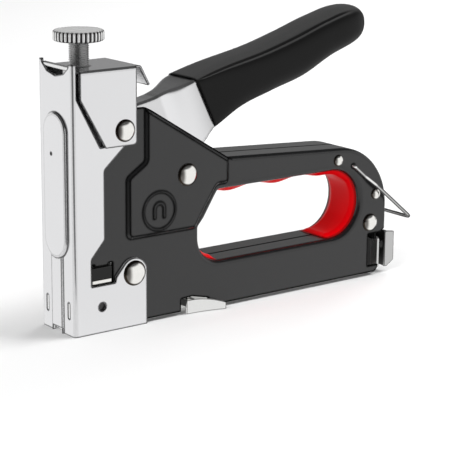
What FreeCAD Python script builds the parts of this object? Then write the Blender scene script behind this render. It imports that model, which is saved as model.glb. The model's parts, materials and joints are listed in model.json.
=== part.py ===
import FreeCAD, Part
import math
import os
from types import SimpleNamespace
import Sketcher

# A hand staple gun for three staple shapes. The nose is at -X, the grip at +X, and the seen side is -Y.
# Inside this file, x is measured from the front face of the nose plate; every sub-part's Placement then
# moves it by nose_x, so that the document's origin is under the middle of the whole tool.

Vector = FreeCAD.Vector
doc = FreeCAD.newDocument("staple_gun")

DIMENSIONS = [
    ("nose_x", -88.98, "front face of the nose plate, from the middle of the tool"),
    ("nose_width", 24.5, "nose plate across its two legs"),
    ("nose_top", 108.8, "top edge of the nose plate"),
    ("nose_leg", 34.6, "length of the nose plate's legs along the housing"),
    ("nose_gauge", 1.0, "sheet thickness of the nose plate"),
    ("pad_rise", 1.25, "height of the pressed oval on the nose"),
    ("pad_half", 8.0, "half width of the pressed oval"),
    ("pad_low", 30.7, "lower end of the pressed oval"),
    ("pad_high", 89.1, "upper end of the pressed oval"),
    ("bracket_top", 106.2, "top face of the top bracket"),
    ("bracket_low", 75.0, "lower edge of the top bracket"),
    ("bracket_front", 3.1, "front edge of the top bracket"),
    ("bracket_rear", 29.4, "rear edge of the top bracket"),
    ("bracket_gauge", 0.9, "sheet thickness of the top bracket"),
    ("slip", 0.05, "gap between pieces that slide over each other or turn in each other"),
    ("housing_half", 11.2, "outer side face of a housing half, from the middle plane"),
    ("housing_gauge", 1.2, "sheet thickness of the housing halves"),
    ("housing_low", 1.6, "lower edge of the housing"),
    ("housing_rear", 165.7, "rear end of the housing"),
    ("housing_top", 105.0, "top of the housing inside the bracket"),
    ("panel_rise", 1.3, "height of the pressed panel on the housing's side"),
    ("rear_bend", 28.5, "radius of the housing's rear corner"),
    ("hole_front", 61.6, "front end of the hand hole"),
    ("hole_rear", 149.6, "rear end of the hand hole"),
    ("hole_low", 20.4, "lower edge of the hand hole"),
    ("hole_high", 50.8, "upper edge of the hand hole"),
    ("hole_bend", 15.0, "radius of the hand hole's rear corners"),
    ("rim_roll", 2.0, "radius of the rolled edge round the hand hole"),
    ("liner_half", 9.1, "half width of the hand hole's liner"),
    ("pivot_x", 54.6, "handle pivot"),
    ("pivot_z", 59.6, "handle pivot"),
    ("pivot_radius", 3.5, "shank of the handle pivot"),
    ("screw_x", 11.1, "axis of the tension screw and the main spring"),
    ("screw_radius", 4.05, "tension screw over its thread"),
    ("knob_radius", 10.2, "tension knob"),
    ("knob_low", 115.9, "underside of the tension knob"),
    ("knob_height", 4.7, "thickness of the tension knob"),
    ("cup_high", 98.5, "top of the spring cup"),
    ("hammer_low", 36.0, "underside of the hammer at rest"),
    ("hammer_high", 60.0, "top of the hammer at rest"),
    ("blade_half", 5.5, "half width of the driver blade"),
    ("arm_tip_x", 14.0, "centre of the lifting arm's round tip"),
    ("arm_tip_z", 50.8, "centre of the lifting arm's round tip"),
    ("arm_tip_radius", 3.4, "lifting arm's round tip"),
    ("channel_half", 6.6, "staple channel, outside, from the middle plane"),
    ("channel_gauge", 0.8, "sheet thickness of the staple channel"),
    ("channel_low", 1.3, "underside of the staple channel"),
    ("channel_high", 16.0, "top of the staple channel's walls"),
    ("rod_z", 9.6, "axis of the loader's rod"),
    ("rod_radius", 1.5, "loader's rod"),
    ("grip_half", 11.0, "half width of the grip sleeve"),
    ("lock_x", 145.5, "pivot of the lock wire"),
    ("lock_z", 51.8, "pivot of the lock wire"),
    ("lock_radius", 0.8, "lock wire"),
    ("lock_tip_x", 178.4, "cross bar of the lock wire"),
    ("lock_tip_z", 24.6, "cross bar of the lock wire"),
]

sheet = doc.addObject("Spreadsheet::Sheet", "Sizes")
for row, (alias, number, meaning) in enumerate(DIMENSIONS, 1):
    sheet.set(f"A{row}", meaning)
    sheet.set(f"B{row}", str(number))
    sheet.setAlias(f"B{row}", alias)
doc.recompute()


class Size:
    """A number together with the sheet expression that gives it."""

    def __init__(self, number, text):
        self.number = number
        self.text = text

    def __float__(self):
        return self.number

    def __add__(self, other):
        return Size(self.number + float(other), f"({self.text} + {text_of(other)})")

    def __radd__(self, other):
        return self + other

    def __sub__(self, other):
        return Size(self.number - float(other), f"({self.text} - {text_of(other)})")

    def __rsub__(self, other):
        return Size(float(other) - self.number, f"({text_of(other)} - {self.text})")

    def __mul__(self, other):
        return Size(self.number * float(other), f"({self.text} * {text_of(other)})")

    def __rmul__(self, other):
        return self * other

    def __neg__(self):
        return self * -1


def text_of(size):
    """The expression of a Size, or a plain number in brackets."""
    return size.text if isinstance(size, Size) else f"({float(size)})"


def bind(owner, name, size):
    """Sets a property, bound to the sheet where the size comes from it."""
    owner.setExpression(name, text_of(size))


d = SimpleNamespace(**{alias: Size(float(sheet.get(alias)), f"Sizes.{alias}") for alias, _, _ in DIMENSIONS})
PARTS = []


def keep(sub_part, label):
    """Names a finished sub-part, moves it to its place and lists it for writing."""
    sub_part.Label = label
    bind(sub_part, "Placement.Base.x", d.nose_x)
    PARTS.append(sub_part)
    return sub_part


# ---------------------------------------------------------------- sketches and features

PLANE_SQUARE_TO = {"x": "YZ_Plane", "y": "XZ_Plane", "z": "XY_Plane"}


class Circle:
    """A round loop of a sketch."""

    def __init__(self, u, v, radius):
        self.u, self.v, self.radius = u, v, radius


class Via:
    """A point that the next side of a loop passes through, which makes that side an arc."""

    def __init__(self, u, v):
        self.u, self.v = u, v


def flat(u, v):
    return Vector(float(u), float(v), 0)


def draw_circle(sketch, circle):
    index = sketch.addGeometry(Part.Circle(flat(circle.u, circle.v), Vector(0, 0, 1), float(circle.radius)))
    sizes = [("DistanceX", (-1, 1, index, 3), circle.u), ("DistanceY", (-1, 1, index, 3), circle.v),
             ("Radius", (index,), circle.radius)]
    hold(sketch, sizes)


def hold(sketch, sizes):
    """Adds dimensions to a sketch and binds them to the sheet."""
    for kind, places, size in sizes:
        number = sketch.addConstraint(Sketcher.Constraint(kind, *places, float(size)))
        if isinstance(size, Size):
            sketch.setExpression(f"Constraints[{number}]", size.text)


def draw_loop(sketch, loop):
    """Draws a closed loop of corners, and holds each corner at its place."""
    corners = [item for item in loop if not isinstance(item, Via)]
    first = sketch.GeometryCount
    ends = []
    position = 0
    for place, item in enumerate(loop):
        if isinstance(item, Via):
            continue
        after = loop[(place + 1) % len(loop)]
        start = corners[position]
        end = corners[(position + 1) % len(corners)]
        if isinstance(after, Via):
            side = Part.Arc(flat(*start), flat(after.u, after.v), flat(*end))
        else:
            side = Part.LineSegment(flat(*start), flat(*end))
        index = sketch.addGeometry(side)
        forward = sketch.getPoint(index, 1).distanceToPoint(flat(*start)) < 1e-6
        ends.append((1, 2) if forward else (2, 1))
        position += 1
    count = len(corners)
    joints = []
    for k in range(count):
        joints.append(Sketcher.Constraint("Coincident", first + k, ends[k][1],
                                          first + (k + 1) % count, ends[(k + 1) % count][0]))
    sketch.addConstraint(joints)
    for k, (u, v) in enumerate(corners):
        place = (-1, 1, first + k, ends[k][0])
        hold(sketch, [("DistanceX", place, u), ("DistanceY", place, v)])


def draw(body, name, axis, along, loops, origin=(0, 0)):
    """A sketch square to an axis, at a distance along it, with the given loops."""
    sketch = body.newObject("Sketcher::SketchObject", name)
    plane = next(item for item in body.Origin.OriginFeatures if item.Role == PLANE_SQUARE_TO[axis])
    sketch.AttachmentSupport = [(plane, "")]
    sketch.MapMode = "FlatFace"
    bind(sketch, "AttachmentOffset.Base.x", origin[0])
    bind(sketch, "AttachmentOffset.Base.y", origin[1])
    bind(sketch, "AttachmentOffset.Base.z", -along if axis == "y" else along)
    for loop in loops:
        if isinstance(loop, Circle):
            draw_circle(sketch, loop)
        else:
            draw_loop(sketch, loop)
    return sketch


def new_body(name):
    return doc.addObject("PartDesign::Body", name)


def prism(body, kind, axis, loops, low, high):
    """Pads or pockets the loops from low to high along an axis. The loops' corners are given in the
    order x, z square to y; y, z square to x; and x, y square to z."""
    before = body.Shape.Volume if body.Tip else 0.0
    name = f"{body.Name}_{kind.lower()}"
    sketch = draw(body, name + "_outline", axis, high if axis == "y" else low, loops)
    feature = body.newObject("PartDesign::" + kind, name)
    feature.Profile = sketch
    feature.Reversed = kind == "Pocket"
    bind(feature, "Length", high - low)
    doc.recompute()
    changed = body.Shape.Volume - before
    if (changed > 0) != (kind == "Pad"):
        raise RuntimeError(f"{feature.Name} changed the volume by {changed}")
    return feature


def pad(body, axis, loops, low, high):
    return prism(body, "Pad", axis, loops, low, high)


def pocket(body, axis, loops, low, high):
    return prism(body, "Pocket", axis, loops, low, high)


def turn(body, axis, centre, profile):
    """Turns a profile about an axis through the centre. Its corners are (radius, place along the axis)."""
    x, y, z = centre
    if axis == "z":
        sketch = draw(body, body.Name + "_profile", "y", y, [profile], (x, z))
    elif axis == "y":
        sketch = draw(body, body.Name + "_profile", "z", z, [profile], (x, y))
    else:
        swapped = [Via(p.v, p.u) if isinstance(p, Via) else (p[1], p[0]) for p in profile]
        sketch = draw(body, body.Name + "_profile", "z", z, [swapped], (x, y))
    feature = body.newObject("PartDesign::Revolution", body.Name + "_turned")
    feature.Profile = sketch
    feature.ReferenceAxis = (sketch, ["H_Axis" if axis == "x" else "V_Axis"])
    feature.Angle = 360
    doc.recompute()
    return feature


def edges_where(shape, test):
    return [f"Edge{k}" for k, edge in enumerate(shape.Edges, 1) if test(edge)]


def finish_edges(body, kind, size, test):
    """Fillets or chamfers those edges of the body that pass the test."""
    base = body.Tip
    names = edges_where(base.Shape, test)
    if not names:
        raise RuntimeError(f"{body.Name}: no edge to finish")
    feature = body.newObject("PartDesign::" + kind, f"{body.Name}_{kind.lower()}")
    feature.Base = (base, names)
    bind(feature, "Radius" if kind == "Fillet" else "Size", size)
    doc.recompute()
    return feature


def runs_along(axis, corners):
    """Tests for a straight edge along the axis through one of the corners."""
    places = [(float(u), float(v)) for u, v in corners]

    def test(edge):
        if not isinstance(edge.Curve, Part.Line):
            return False
        one, two = edge.Vertexes[0].Point, edge.Vertexes[-1].Point
        u, v = [name for name in "xyz" if name != axis]
        if abs(getattr(one, u) - getattr(two, u)) > 1e-4 or abs(getattr(one, v) - getattr(two, v)) > 1e-4:
            return False
        return any(abs(getattr(one, u) - p) < 0.02 and abs(getattr(one, v) - q) < 0.02 for p, q in places)

    return test


def lies_at(axis, coordinate, more=lambda middle: True):
    """Tests for an edge in the plane square to the axis at a coordinate."""
    def test(edge):
        box = edge.BoundBox
        low, high = getattr(box, axis.upper() + "Min"), getattr(box, axis.upper() + "Max")
        if abs(low - float(coordinate)) > 1e-3 or abs(high - float(coordinate)) > 1e-3:
            return False
        return more(edge.valueAt((edge.FirstParameter + edge.LastParameter) / 2))

    return test


def round_corners(body, axis, corners, radius):
    return finish_edges(body, "Fillet", radius, runs_along(axis, corners))


def box_loop(u_low, v_low, u_high, v_high):
    return [(u_low, v_low), (u_high, v_low), (u_high, v_high), (u_low, v_high)]


def rounded(corners, bends, grow=0.0):
    """A loop through corners given counter-clockwise, each with its bend radius (0 for a sharp one).
    The whole loop can be grown outwards, and its bends grow or shrink with it."""
    points = [Vector(float(u), float(v), 0) for u, v in corners]
    grow = float(grow)
    count = len(points)
    loop = []
    for k in range(count):
        back = (points[k - 1] - points[k]).normalize()
        ahead = (points[(k + 1) % count] - points[k]).normalize()
        turning = back.cross(ahead).z
        half_angle = back.getAngle(ahead) / 2
        bulges = turning < 0
        inward = (back + ahead).normalize()
        shift = grow / math.sin(half_angle)
        corner = points[k] - inward * (shift if bulges else -shift)
        bend = float(bends[k]) and float(bends[k]) + (grow if bulges else -grow)
        if bend <= 0.05:
            loop.append((corner.x, corner.y))
            continue
        reach = bend / math.tan(half_angle)
        start, end = corner + back * reach, corner + ahead * reach
        middle = corner + inward * (bend / math.sin(half_angle) - bend)
        loop += [(start.x, start.y), Via(middle.x, middle.y), (end.x, end.y)]
    return loop


def slot_loop(u, v_low, v_high, half):
    """An upright slot with round ends."""
    return [(u - half, v_high - half), Via(u, v_high), (u + half, v_high - half),
            (u + half, v_low + half), Via(u, v_low), (u - half, v_low + half)]


# ---------------------------------------------------------------- nose

HALF_NOSE = d.nose_width * 0.5
NOSE_RIVET = (28.6, 22.3)
BRACKET_RIVET = (23.8, 81.2)
REAR_RIVET = (156.1, 24.8)
SMALL_RIVETS = [(136.7, 55.3), (159.1, 37.5)]
NOSE_SHANK, BRACKET_SHANK, REAR_SHANK, SMALL_SHANK = 2.5, 2.0, 2.0, 1.25
KEY_LOW, KEY_HIGH = 20.2, 21.9
TAB_LOW, TAB_HIGH = 22.1, 26.7


def nose_plate():
    """The folded front: two legs, a pressed oval, a driver bulge and a notch at the top."""
    body = new_body("nose_plate")
    leg = [(0, 0), (d.nose_leg, 0), (d.nose_leg, 23.9), Via(28.5, 28.6), (24.05, 26.75), (19.9, 22.0),
           (19.3, 19.7), (8.0, 19.7), (8.0, 30.9), (14.4, 38.1), (14.4, 66.2), (25.3, 75.7), (25.3, 77.5),
           (16.5, 77.5), (14.2, 75.4), (12.6, 75.4), (1.9, 95.4), (1.9, d.nose_top), (0, d.nose_top)]
    pad(body, "y", [leg], -HALF_NOSE, HALF_NOSE)
    inside = [box_loop(d.nose_gauge, -1, d.nose_leg + 1, d.nose_top + 1)]
    pocket(body, "y", inside, -HALF_NOSE + d.nose_gauge, HALF_NOSE - d.nose_gauge)
    round_corners(body, "z", [(0, -HALF_NOSE), (0, HALF_NOSE)], 1.3)
    round_corners(body, "y", [(8.0, 30.9), (14.4, 38.1), (14.4, 66.2)], 2.2)
    pad(body, "x", [box_loop(-4.2, 0, 4.2, d.pad_low + 3)], -0.7, 0.2)
    finish_edges(body, "Chamfer", 0.6, lies_at("x", -0.7, lambda p: 1 < p.z))
    pad(body, "x", [slot_loop(0, d.pad_low, d.pad_high, d.pad_half)], -d.pad_rise, 0.2)
    finish_edges(body, "Fillet", 1.0, lies_at("x", -d.pad_rise))
    hollow = slot_loop(0, d.pad_low + 1, d.pad_high - 1, d.pad_half - 1)
    pocket(body, "x", [hollow], -d.pad_rise + d.nose_gauge, d.nose_gauge + 0.1)
    notch = [(-10.2, 110), (-9.6, 107.6), (-6, 104.7), (0, 103.4), (6, 104.7), (9.6, 107.6), (10.2, 110)]
    pocket(body, "x", [notch, Circle(1.6, 72.5, 0.55), slot_loop(-7.9, 6.9, 13.7, 0.7),
                       slot_loop(7.9, 6.9, 13.7, 0.7), box_loop(-3.6, -1, 3.5, 2.2)], -2, 1.2)
    pocket(body, "y", [Circle(13.0, 10.8, 1.75), Circle(*NOSE_RIVET, NOSE_SHANK + d.slip)], -13, 13)
    return keep(body, "nose_plate")


def guide_plate():
    """The inner front plate that the driver blade slides on, with two tabs and a rolled top bar."""
    body = new_body("guide_plate")
    pad(body, "x", [box_loop(-10.9, 0.6, 10.9, 106.9)], d.nose_gauge, d.nose_gauge + 1)
    pad(body, "x", [slot_loop(side * 7.9, 7.1, 13.5, 0.55) for side in (-1, 1)], 0.1, d.nose_gauge + 0.5)
    pad(body, "y", [Circle(1.35, 106.9, 1.05)], -8.6, 9.4)
    pocket(body, "x", [box_loop(-9, 98, 9, 105.9)], 0, 3)
    pocket(body, "x", [box_loop(-12, 106.2, -8.6, 109), box_loop(9.4, 106.2, 12, 109)], 0, 3)
    return keep(body, "guide_plate")


def top_bracket():
    """The folded cap over the nose that carries the tension screw, with a turned-down rear lip."""
    body = new_body("top_bracket")
    half = HALF_NOSE + d.slip + d.bracket_gauge
    side = [(d.bracket_front, 95.0), (14.7, d.bracket_low), (d.bracket_rear, d.bracket_low),
            (d.bracket_rear, d.bracket_top), (d.bracket_front, d.bracket_top)]
    pad(body, "y", [side], -half, half)
    inside = box_loop(d.bracket_front - 1, d.bracket_low - 1, d.bracket_rear + 1, d.bracket_top - d.bracket_gauge)
    pocket(body, "y", [inside], -half + d.bracket_gauge, half - d.bracket_gauge)
    round_corners(body, "x", [(-half, d.bracket_top), (half, d.bracket_top)], 1.3)
    round_corners(body, "y", [(d.bracket_rear, d.bracket_low)], 1.6)
    lip = [(d.bracket_rear - 1, d.bracket_top), (d.bracket_rear + 2.6, d.bracket_top),
           (d.bracket_rear + 6.9, 98.3), (d.bracket_rear + 6.1, 97.9), (d.bracket_rear + 2.1, 105.3),
           (d.bracket_rear - 1, d.bracket_top - d.bracket_gauge)]
    pad(body, "y", [lip], -half + 1.0, half - 1.0)
    round_corners(body, "y", [(d.bracket_rear + 2.6, d.bracket_top)], 1.2)
    pocket(body, "z", [Circle(d.screw_x, 0, 4.4)], 104, 107)
    pocket(body, "y", [Circle(*BRACKET_RIVET, BRACKET_SHANK + d.slip)], -15, 15)
    return keep(body, "top_bracket")


def adjuster_nut():
    """The hexagonal nut welded under the bracket, with a running fit on the tension screw."""
    body = new_body("adjuster_nut")
    corners = [(d.screw_x + 7.4 * math.cos(k * math.pi / 3), 7.4 * math.sin(k * math.pi / 3)) for k in range(6)]
    pad(body, "z", [corners, Circle(d.screw_x, 0, d.screw_radius + d.slip)], 99.9,
        d.bracket_top - d.bracket_gauge - d.slip)
    return keep(body, "adjuster_nut")


def adjusting_screw():
    body = new_body("adjusting_screw")
    end = d.cup_high + 0.05
    turn(body, "z", (d.screw_x, 0, 0),
         [(0, end), (3.2, end), (d.screw_radius, end + 0.9), (d.screw_radius, d.knob_low), (0, d.knob_low)])
    return keep(body, "adjusting_screw")


def tension_knob():
    """The round head of the screw, with flutes all round its rim."""
    body = new_body("tension_knob")
    top = d.knob_low + d.knob_height
    head = turn(body, "z", (d.screw_x, 0, 0),
                [(0, d.knob_low), (d.knob_radius - 0.6, d.knob_low), (d.knob_radius, d.knob_low + 0.6),
                 (d.knob_radius, top - 0.7), (d.knob_radius - 0.7, top), (0, top)])
    flute = pocket(body, "z", [Circle(d.screw_x + d.knob_radius + 0.15, 0, 0.55)], d.knob_low - 1, top + 1)
    pattern = body.newObject("PartDesign::PolarPattern", "flutes")
    pattern.Originals = [flute]
    pattern.Axis = (head.Profile[0], ["V_Axis"])
    pattern.Angle = 360
    pattern.Occurrences = 36
    body.Tip = pattern
    doc.recompute()
    return keep(body, "tension_knob")


# ---------------------------------------------------------------- drive train

def spring_cup():
    body = new_body("spring_cup")
    seat = d.cup_high - 1.8
    turn(body, "z", (d.screw_x, 0, 0),
         [(0, seat - 3), (3.9, seat - 3), (3.9, seat), (7.2, seat), (7.2, d.cup_high), (0, d.cup_high)])
    return keep(body, "spring_cup")


def coil(name, axis, centre, mean_radius, wire_radius, length, pitch):
    """A helical spring that starts at the centre and runs along +Z, or along +Y or +X after a turn."""
    helix = doc.addObject("Part::Helix", name + "_path")
    helix.Pitch = pitch
    bind(helix, "Height", length)
    helix.Radius = mean_radius
    ring = doc.addObject("Part::Circle", name + "_section")
    ring.Radius = wire_radius
    lead = math.degrees(math.atan(pitch / (2 * math.pi * mean_radius)))
    ring.Placement = FreeCAD.Placement(Vector(mean_radius, 0, 0), FreeCAD.Rotation(Vector(1, 0, 0), 90 + lead))
    sweep = doc.addObject("Part::Sweep", name)
    sweep.Sections = [ring]
    sweep.Spine = (helix, ["Edge1"])
    sweep.Solid = True
    sweep.Frenet = True
    turned = {"z": (Vector(0, 0, 1), 0), "x": (Vector(0, 1, 0), 90), "y": (Vector(1, 0, 0), -90)}[axis]
    sweep.Placement = FreeCAD.Placement(Vector(*(float(c) for c in centre)), FreeCAD.Rotation(*turned))
    bind(sweep, "Placement.Base.y", centre[1])
    bind(sweep, "Placement.Base.z", centre[2])
    sweep.Label = name
    bind(sweep, "Placement.Base.x", d.nose_x + centre[0])
    doc.recompute()
    PARTS.append(sweep)
    return sweep


def hammer():
    """The striker: a block with a rear window for the lifting arm and a pilot for the spring."""
    body = new_body("hammer")
    pad(body, "y", [box_loop(3.6, d.hammer_low, 18.6, d.hammer_high)], -7.0, 7.0)
    reach = d.arm_tip_radius + 0.35
    window = [(9.0, d.arm_tip_z - reach), (19, d.arm_tip_z - reach), (19, d.arm_tip_z + reach),
              (9.0, d.arm_tip_z + reach)]
    pocket(body, "y", [window], -3.0, 3.0)
    finish_edges(body, "Chamfer", 0.8, runs_along("z", [(18.6, -7.0), (18.6, 7.0)]))
    pad(body, "z", [Circle(d.screw_x, 0, 3.9)], d.hammer_high, d.hammer_high + 3)
    return keep(body, "hammer")


def driver_blade():
    body = new_body("driver_blade")
    outline = [(-d.blade_half, 1.2), (d.blade_half, 1.2), (d.blade_half, 40), (7.0, 44), (7.0, 57),
               (-7.0, 57), (-7.0, 44), (-d.blade_half, 40)]
    pad(body, "x", [outline], 2.4, 3.6)
    return keep(body, "driver_blade")


def stop_bridge():
    """The folded cross piece that takes the hammer's blow, with a tab through each housing half."""
    body = new_body("stop_bridge")
    pad(body, "y", [box_loop(4.6, TAB_LOW, 18.6, 30)], -9.9, 9.9)
    pocket(body, "y", [box_loop(4, 20, 20, 28.6)], -8.7, 8.7)
    for side in (-1, 1):
        low, high = sorted((side * 9.5, side * (float(d.housing_half) + 0.1)))
        pad(body, "y", [box_loop(8.5, TAB_LOW, 18.1, TAB_HIGH)], low, high)
    return keep(body, "stop_bridge")


def stop_key():
    """The flat key through both halves, under the bridge's tabs."""
    body = new_body("stop_key")
    pad(body, "y", [box_loop(8.8, KEY_LOW, 18.0, KEY_HIGH)], -11.6, 11.6)
    finish_edges(body, "Fillet", 0.35, lies_at("y", -11.6))
    return keep(body, "stop_key")


def bumper_pad():
    body = new_body("bumper_pad")
    pad(body, "z", [box_loop(4.8, -8, 18.2, 8)], 30, d.hammer_low - 0.3)
    finish_edges(body, "Fillet", 0.8, runs_along("z", [(4.8, -8), (18.2, -8), (18.2, 8), (4.8, 8)]))
    return keep(body, "bumper_pad")


# ---------------------------------------------------------------- housing

RIM = d.housing_gauge
HAND_HOLE = [(d.hole_front, d.hole_low), (d.hole_rear, d.hole_low), (d.hole_rear, d.hole_high),
             (71.8, d.hole_high), (64.6, 39.6), (d.hole_front, 36.2)]
HAND_HOLE_BENDS = [11.0, d.hole_bend, d.hole_bend, 3.0, 6.0, 1.5]


def housing(name, side):
    """One pressed half of the housing. Side is -1 for the seen half and 1 for the other."""
    def across(near, far):
        """The two places across the tool, lowest first, at distances from the middle plane."""
        return (-far, -near) if side < 0 else (near, far)

    body = new_body(name)
    half = d.housing_half
    outline = [(2.3, d.housing_low), (161.6, d.housing_low), (161.6, 19.0), (d.housing_rear, 21.4),
               (d.housing_rear, 58.7), (76.2, 64.0), (37.6, 87.7), (34.8, 89.1), (28.5, 89.3),
               (28.5, d.housing_top), (2.3, d.housing_top)]
    pad(body, "y", [rounded(outline, [0, 3.0, 0, 0, d.rear_bend, 0, 2.0, 2.0, 0, 0, 0])], *across(0, half))
    finish_edges(body, "Fillet", 1.5, lies_at("y", side * half, lambda p: p.x > 76 and p.z > 21.4))

    open_front, open_top = 0.0, d.housing_top + 5
    cavity = [(open_front, d.housing_low), (164, d.housing_low), (164, 17.2), (161.7, 17.2), (161.7, 19.0),
              (d.housing_rear, 21.4), (d.housing_rear, 58.7), (76.2, 64.0), (80, 68), (40, 96), (28.5, 96),
              (28.5, open_top), (open_front, open_top)]
    hollow = rounded(cavity, [0, 0, 0, 0, 0, 0, d.rear_bend, 0, 0, 0, 0, 0, 0], -RIM)
    ring = rounded(HAND_HOLE, HAND_HOLE_BENDS, d.rim_roll + 0.9)
    pocket(body, "y", [hollow, ring], *across(-1, half - RIM))
    pocket(body, "y", [rounded(HAND_HOLE, HAND_HOLE_BENDS)], *across(-1, half + 2))
    finish_edges(body, "Fillet", d.rim_roll, lies_at("y", side * half, lambda p: 61 < p.x < 151 and 19 < p.z < 52))

    panel = [(25.4, 36.2), (59.2, 36.2), (61.9, 40.8), (70.2, 53.2), (76.2, 53.2), (76.2, 63.4), (37.4, 87.2),
             (34.4, 88.9), (34.4, 67.4), (25.4, 61.6)]
    pad(body, "y", [rounded(panel, [2.5, 2.0, 2.5, 2.5, 1.8, 0, 0, 0, 2.5, 3.0])],
        *across(half - 0.2, half + d.panel_rise))
    face = side * (half + d.panel_rise)
    finish_edges(body, "Chamfer", d.panel_rise * 0.9, lies_at("y", face))

    pocket(body, "z", [box_loop(1, -0.5 if side > 0 else -7.0, 164, 7.0 if side > 0 else 0.5)], 0.5, 3.5)
    pocket(body, "z", [box_loop(155, -0.5 if side > 0 else -5.3, 167, 5.3 if side > 0 else 0.5)], 16.2, 22.0)
    wall = across(half - RIM - 0.5, half + 2)
    round_holes = [Circle(*NOSE_RIVET, NOSE_SHANK + d.slip), Circle(*BRACKET_RIVET, BRACKET_SHANK + d.slip),
                   Circle(*REAR_RIVET, REAR_SHANK + d.slip), Circle(d.pivot_x, d.pivot_z, d.pivot_radius + d.slip),
                   Circle(d.lock_x, d.lock_z, d.lock_radius + d.slip)]
    round_holes += [Circle(x, z, SMALL_SHANK + d.slip) for x, z in SMALL_RIVETS]
    window = [(8.1, KEY_LOW - 0.3), (18.7, KEY_LOW - 0.3), (18.7, 28.2), (16.6, 28.2), (16.6, 27.2),
              (10.2, 27.2), (10.2, 28.2), (8.1, 28.2)]
    pocket(body, "y", round_holes + [window], *wall)
    pocket(body, "y", [box_loop(155.2, 4.7, 164, 19.5)], *wall)
    if side < 0:
        notch = [(52.4, 0), (52.4, 7.0), (58.0, 7.3), (66.5, 5.2), (68.2, 0)]
        pocket(body, "y", [notch], *across(5.0, half + 2))
    badge = [(43.6, 43.2), (43.6, 47.6), Via(40.6, 50.2), (37.6, 47.6), (37.6, 43.2), (38.9, 43.2),
             (38.9, 47.4), Via(40.6, 48.9), (42.3, 47.4), (42.3, 43.2)]
    pad(body, "y", [badge], *across(half + d.panel_rise - 0.2, half + d.panel_rise + 0.35))
    pad(body, "y", [Circle(40.6, 46.4, 8.2), Circle(40.6, 46.4, 7.4)],
        *across(half + d.panel_rise - 0.2, half + d.panel_rise + 0.35))
    return keep(body, name)


# ---------------------------------------------------------------- rivets and their spacers

def rivet(name, places, shank, head_face, head_radius, head_height):
    """A shank through both sides with a ball-cap head on each; several places give separate solids."""
    ball = (float(head_radius) ** 2 + float(head_height) ** 2) / (2 * float(head_height))
    u = float(head_radius) * 0.6
    rise = math.sqrt(ball ** 2 - u ** 2) - ball + float(head_height)
    out = head_face + head_height
    solids = []
    for number, (x, z) in enumerate(places):
        body = new_body(f"{name}_{number}")
        turn(body, "y", (x, 0, z),
             [(0, -out), Via(u, -head_face - rise), (head_radius, -head_face), (shank, -head_face),
              (shank, head_face), (head_radius, head_face), Via(u, head_face + rise), (0, out)])
        solids.append(body)
    return gather(name, solids)


def gather(name, solids):
    """Keeps one solid, or several separate ones as one sub-part."""
    if len(solids) == 1:
        return keep(solids[0], name)
    group = doc.addObject("Part::Compound", name)
    group.Links = solids
    return keep(group, name)


def rivet_spacers():
    """The tubes that hold the two halves apart round the rivets. The upper small rivet needs none,
    because the wall round the hand hole stands beside it."""
    inner = d.housing_half - d.housing_gauge - 0.1
    places = [(NOSE_RIVET, NOSE_SHANK, 4.0), (BRACKET_RIVET, BRACKET_SHANK, 3.3), (REAR_RIVET, REAR_SHANK, 4.0),
              (SMALL_RIVETS[1], SMALL_SHANK, 2.4)]
    tubes = []
    for number, ((x, z), shank, outer) in enumerate(places):
        body = new_body(f"spacer_{number}")
        pad(body, "y", [Circle(x, z, outer), Circle(x, z, shank + d.slip)], -inner, inner)
        tubes.append(body)
    return gather("rivet_spacers", tubes)


def pivot_pin():
    return rivet("pivot_pin", [(d.pivot_x, d.pivot_z)], d.pivot_radius, d.housing_half + d.panel_rise, 4.7, 2.0)


# ---------------------------------------------------------------- handle

FLARE_ANGLE = 30.0


def lever_block(name, side_loops, half_plan):
    """The common part of a side outline and a flaring plan outline."""
    side = new_body(name + "_side")
    pad(side, "y", side_loops, -10.5, 10.5)
    plan = new_body(name + "_plan")
    pad(plan, "z", [half_plan + [(x, -y) for x, y in reversed(half_plan)]], -60, 90)
    bind(plan, "Placement.Base.x", d.pivot_x)
    bind(plan, "Placement.Base.z", d.pivot_z)
    plan.Placement.Rotation = FreeCAD.Rotation(Vector(0, 1, 0), -FLARE_ANGLE)
    block = doc.addObject("Part::Common", name)
    block.Base = side
    block.Tool = plan
    doc.recompute()
    return block


def handle_lever():
    """The bright channel section: narrow between the housing halves, flaring into the grip."""
    web, gauge = 1.7, 1.6
    outside = [(33.5, 88.9), (44.5, 91.2), (60.0, 97.0), (62.5, 97.6), (66.0, 96.0), (96.0, 103.0), (97.0, 97.0),
               (76.0, 86.0), (71.4, 76.8), (66.2, 71.5), (61.0, 64.0), (59.5, 53.0), (49.5, 53.0), (44.5, 62), (35.6, 78)]
    wide = [(-60, 4.8), (8.5, 4.8), (12.0, 5.6), (17.0, 8.2), (22.5, 9.6), (27.5, 10.0), (32.5, 7.4), (80, 6.8)]
    narrow = [(-70, 4.8 - gauge), (8.5, 4.8 - gauge), (12.0, 5.6 - gauge), (17.0, 8.2 - gauge),
              (22.5, 9.6 - gauge), (27, 8.4)]
    block = lever_block("lever_outside", [outside, Circle(d.pivot_x, d.pivot_z, d.pivot_radius + d.slip)], wide)
    hollow = [(20, 86.3 - web), (44.2, 91.2 - web), (59.7, 97.0 - web), (70, 99 - web), (78, 40), (20, 40)]
    space = lever_block("lever_inside", [hollow], narrow)
    lever = doc.addObject("Part::Cut", "handle_lever")
    lever.Base = block
    lever.Tool = space
    doc.recompute()
    return keep(lever, "handle_lever")


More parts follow.
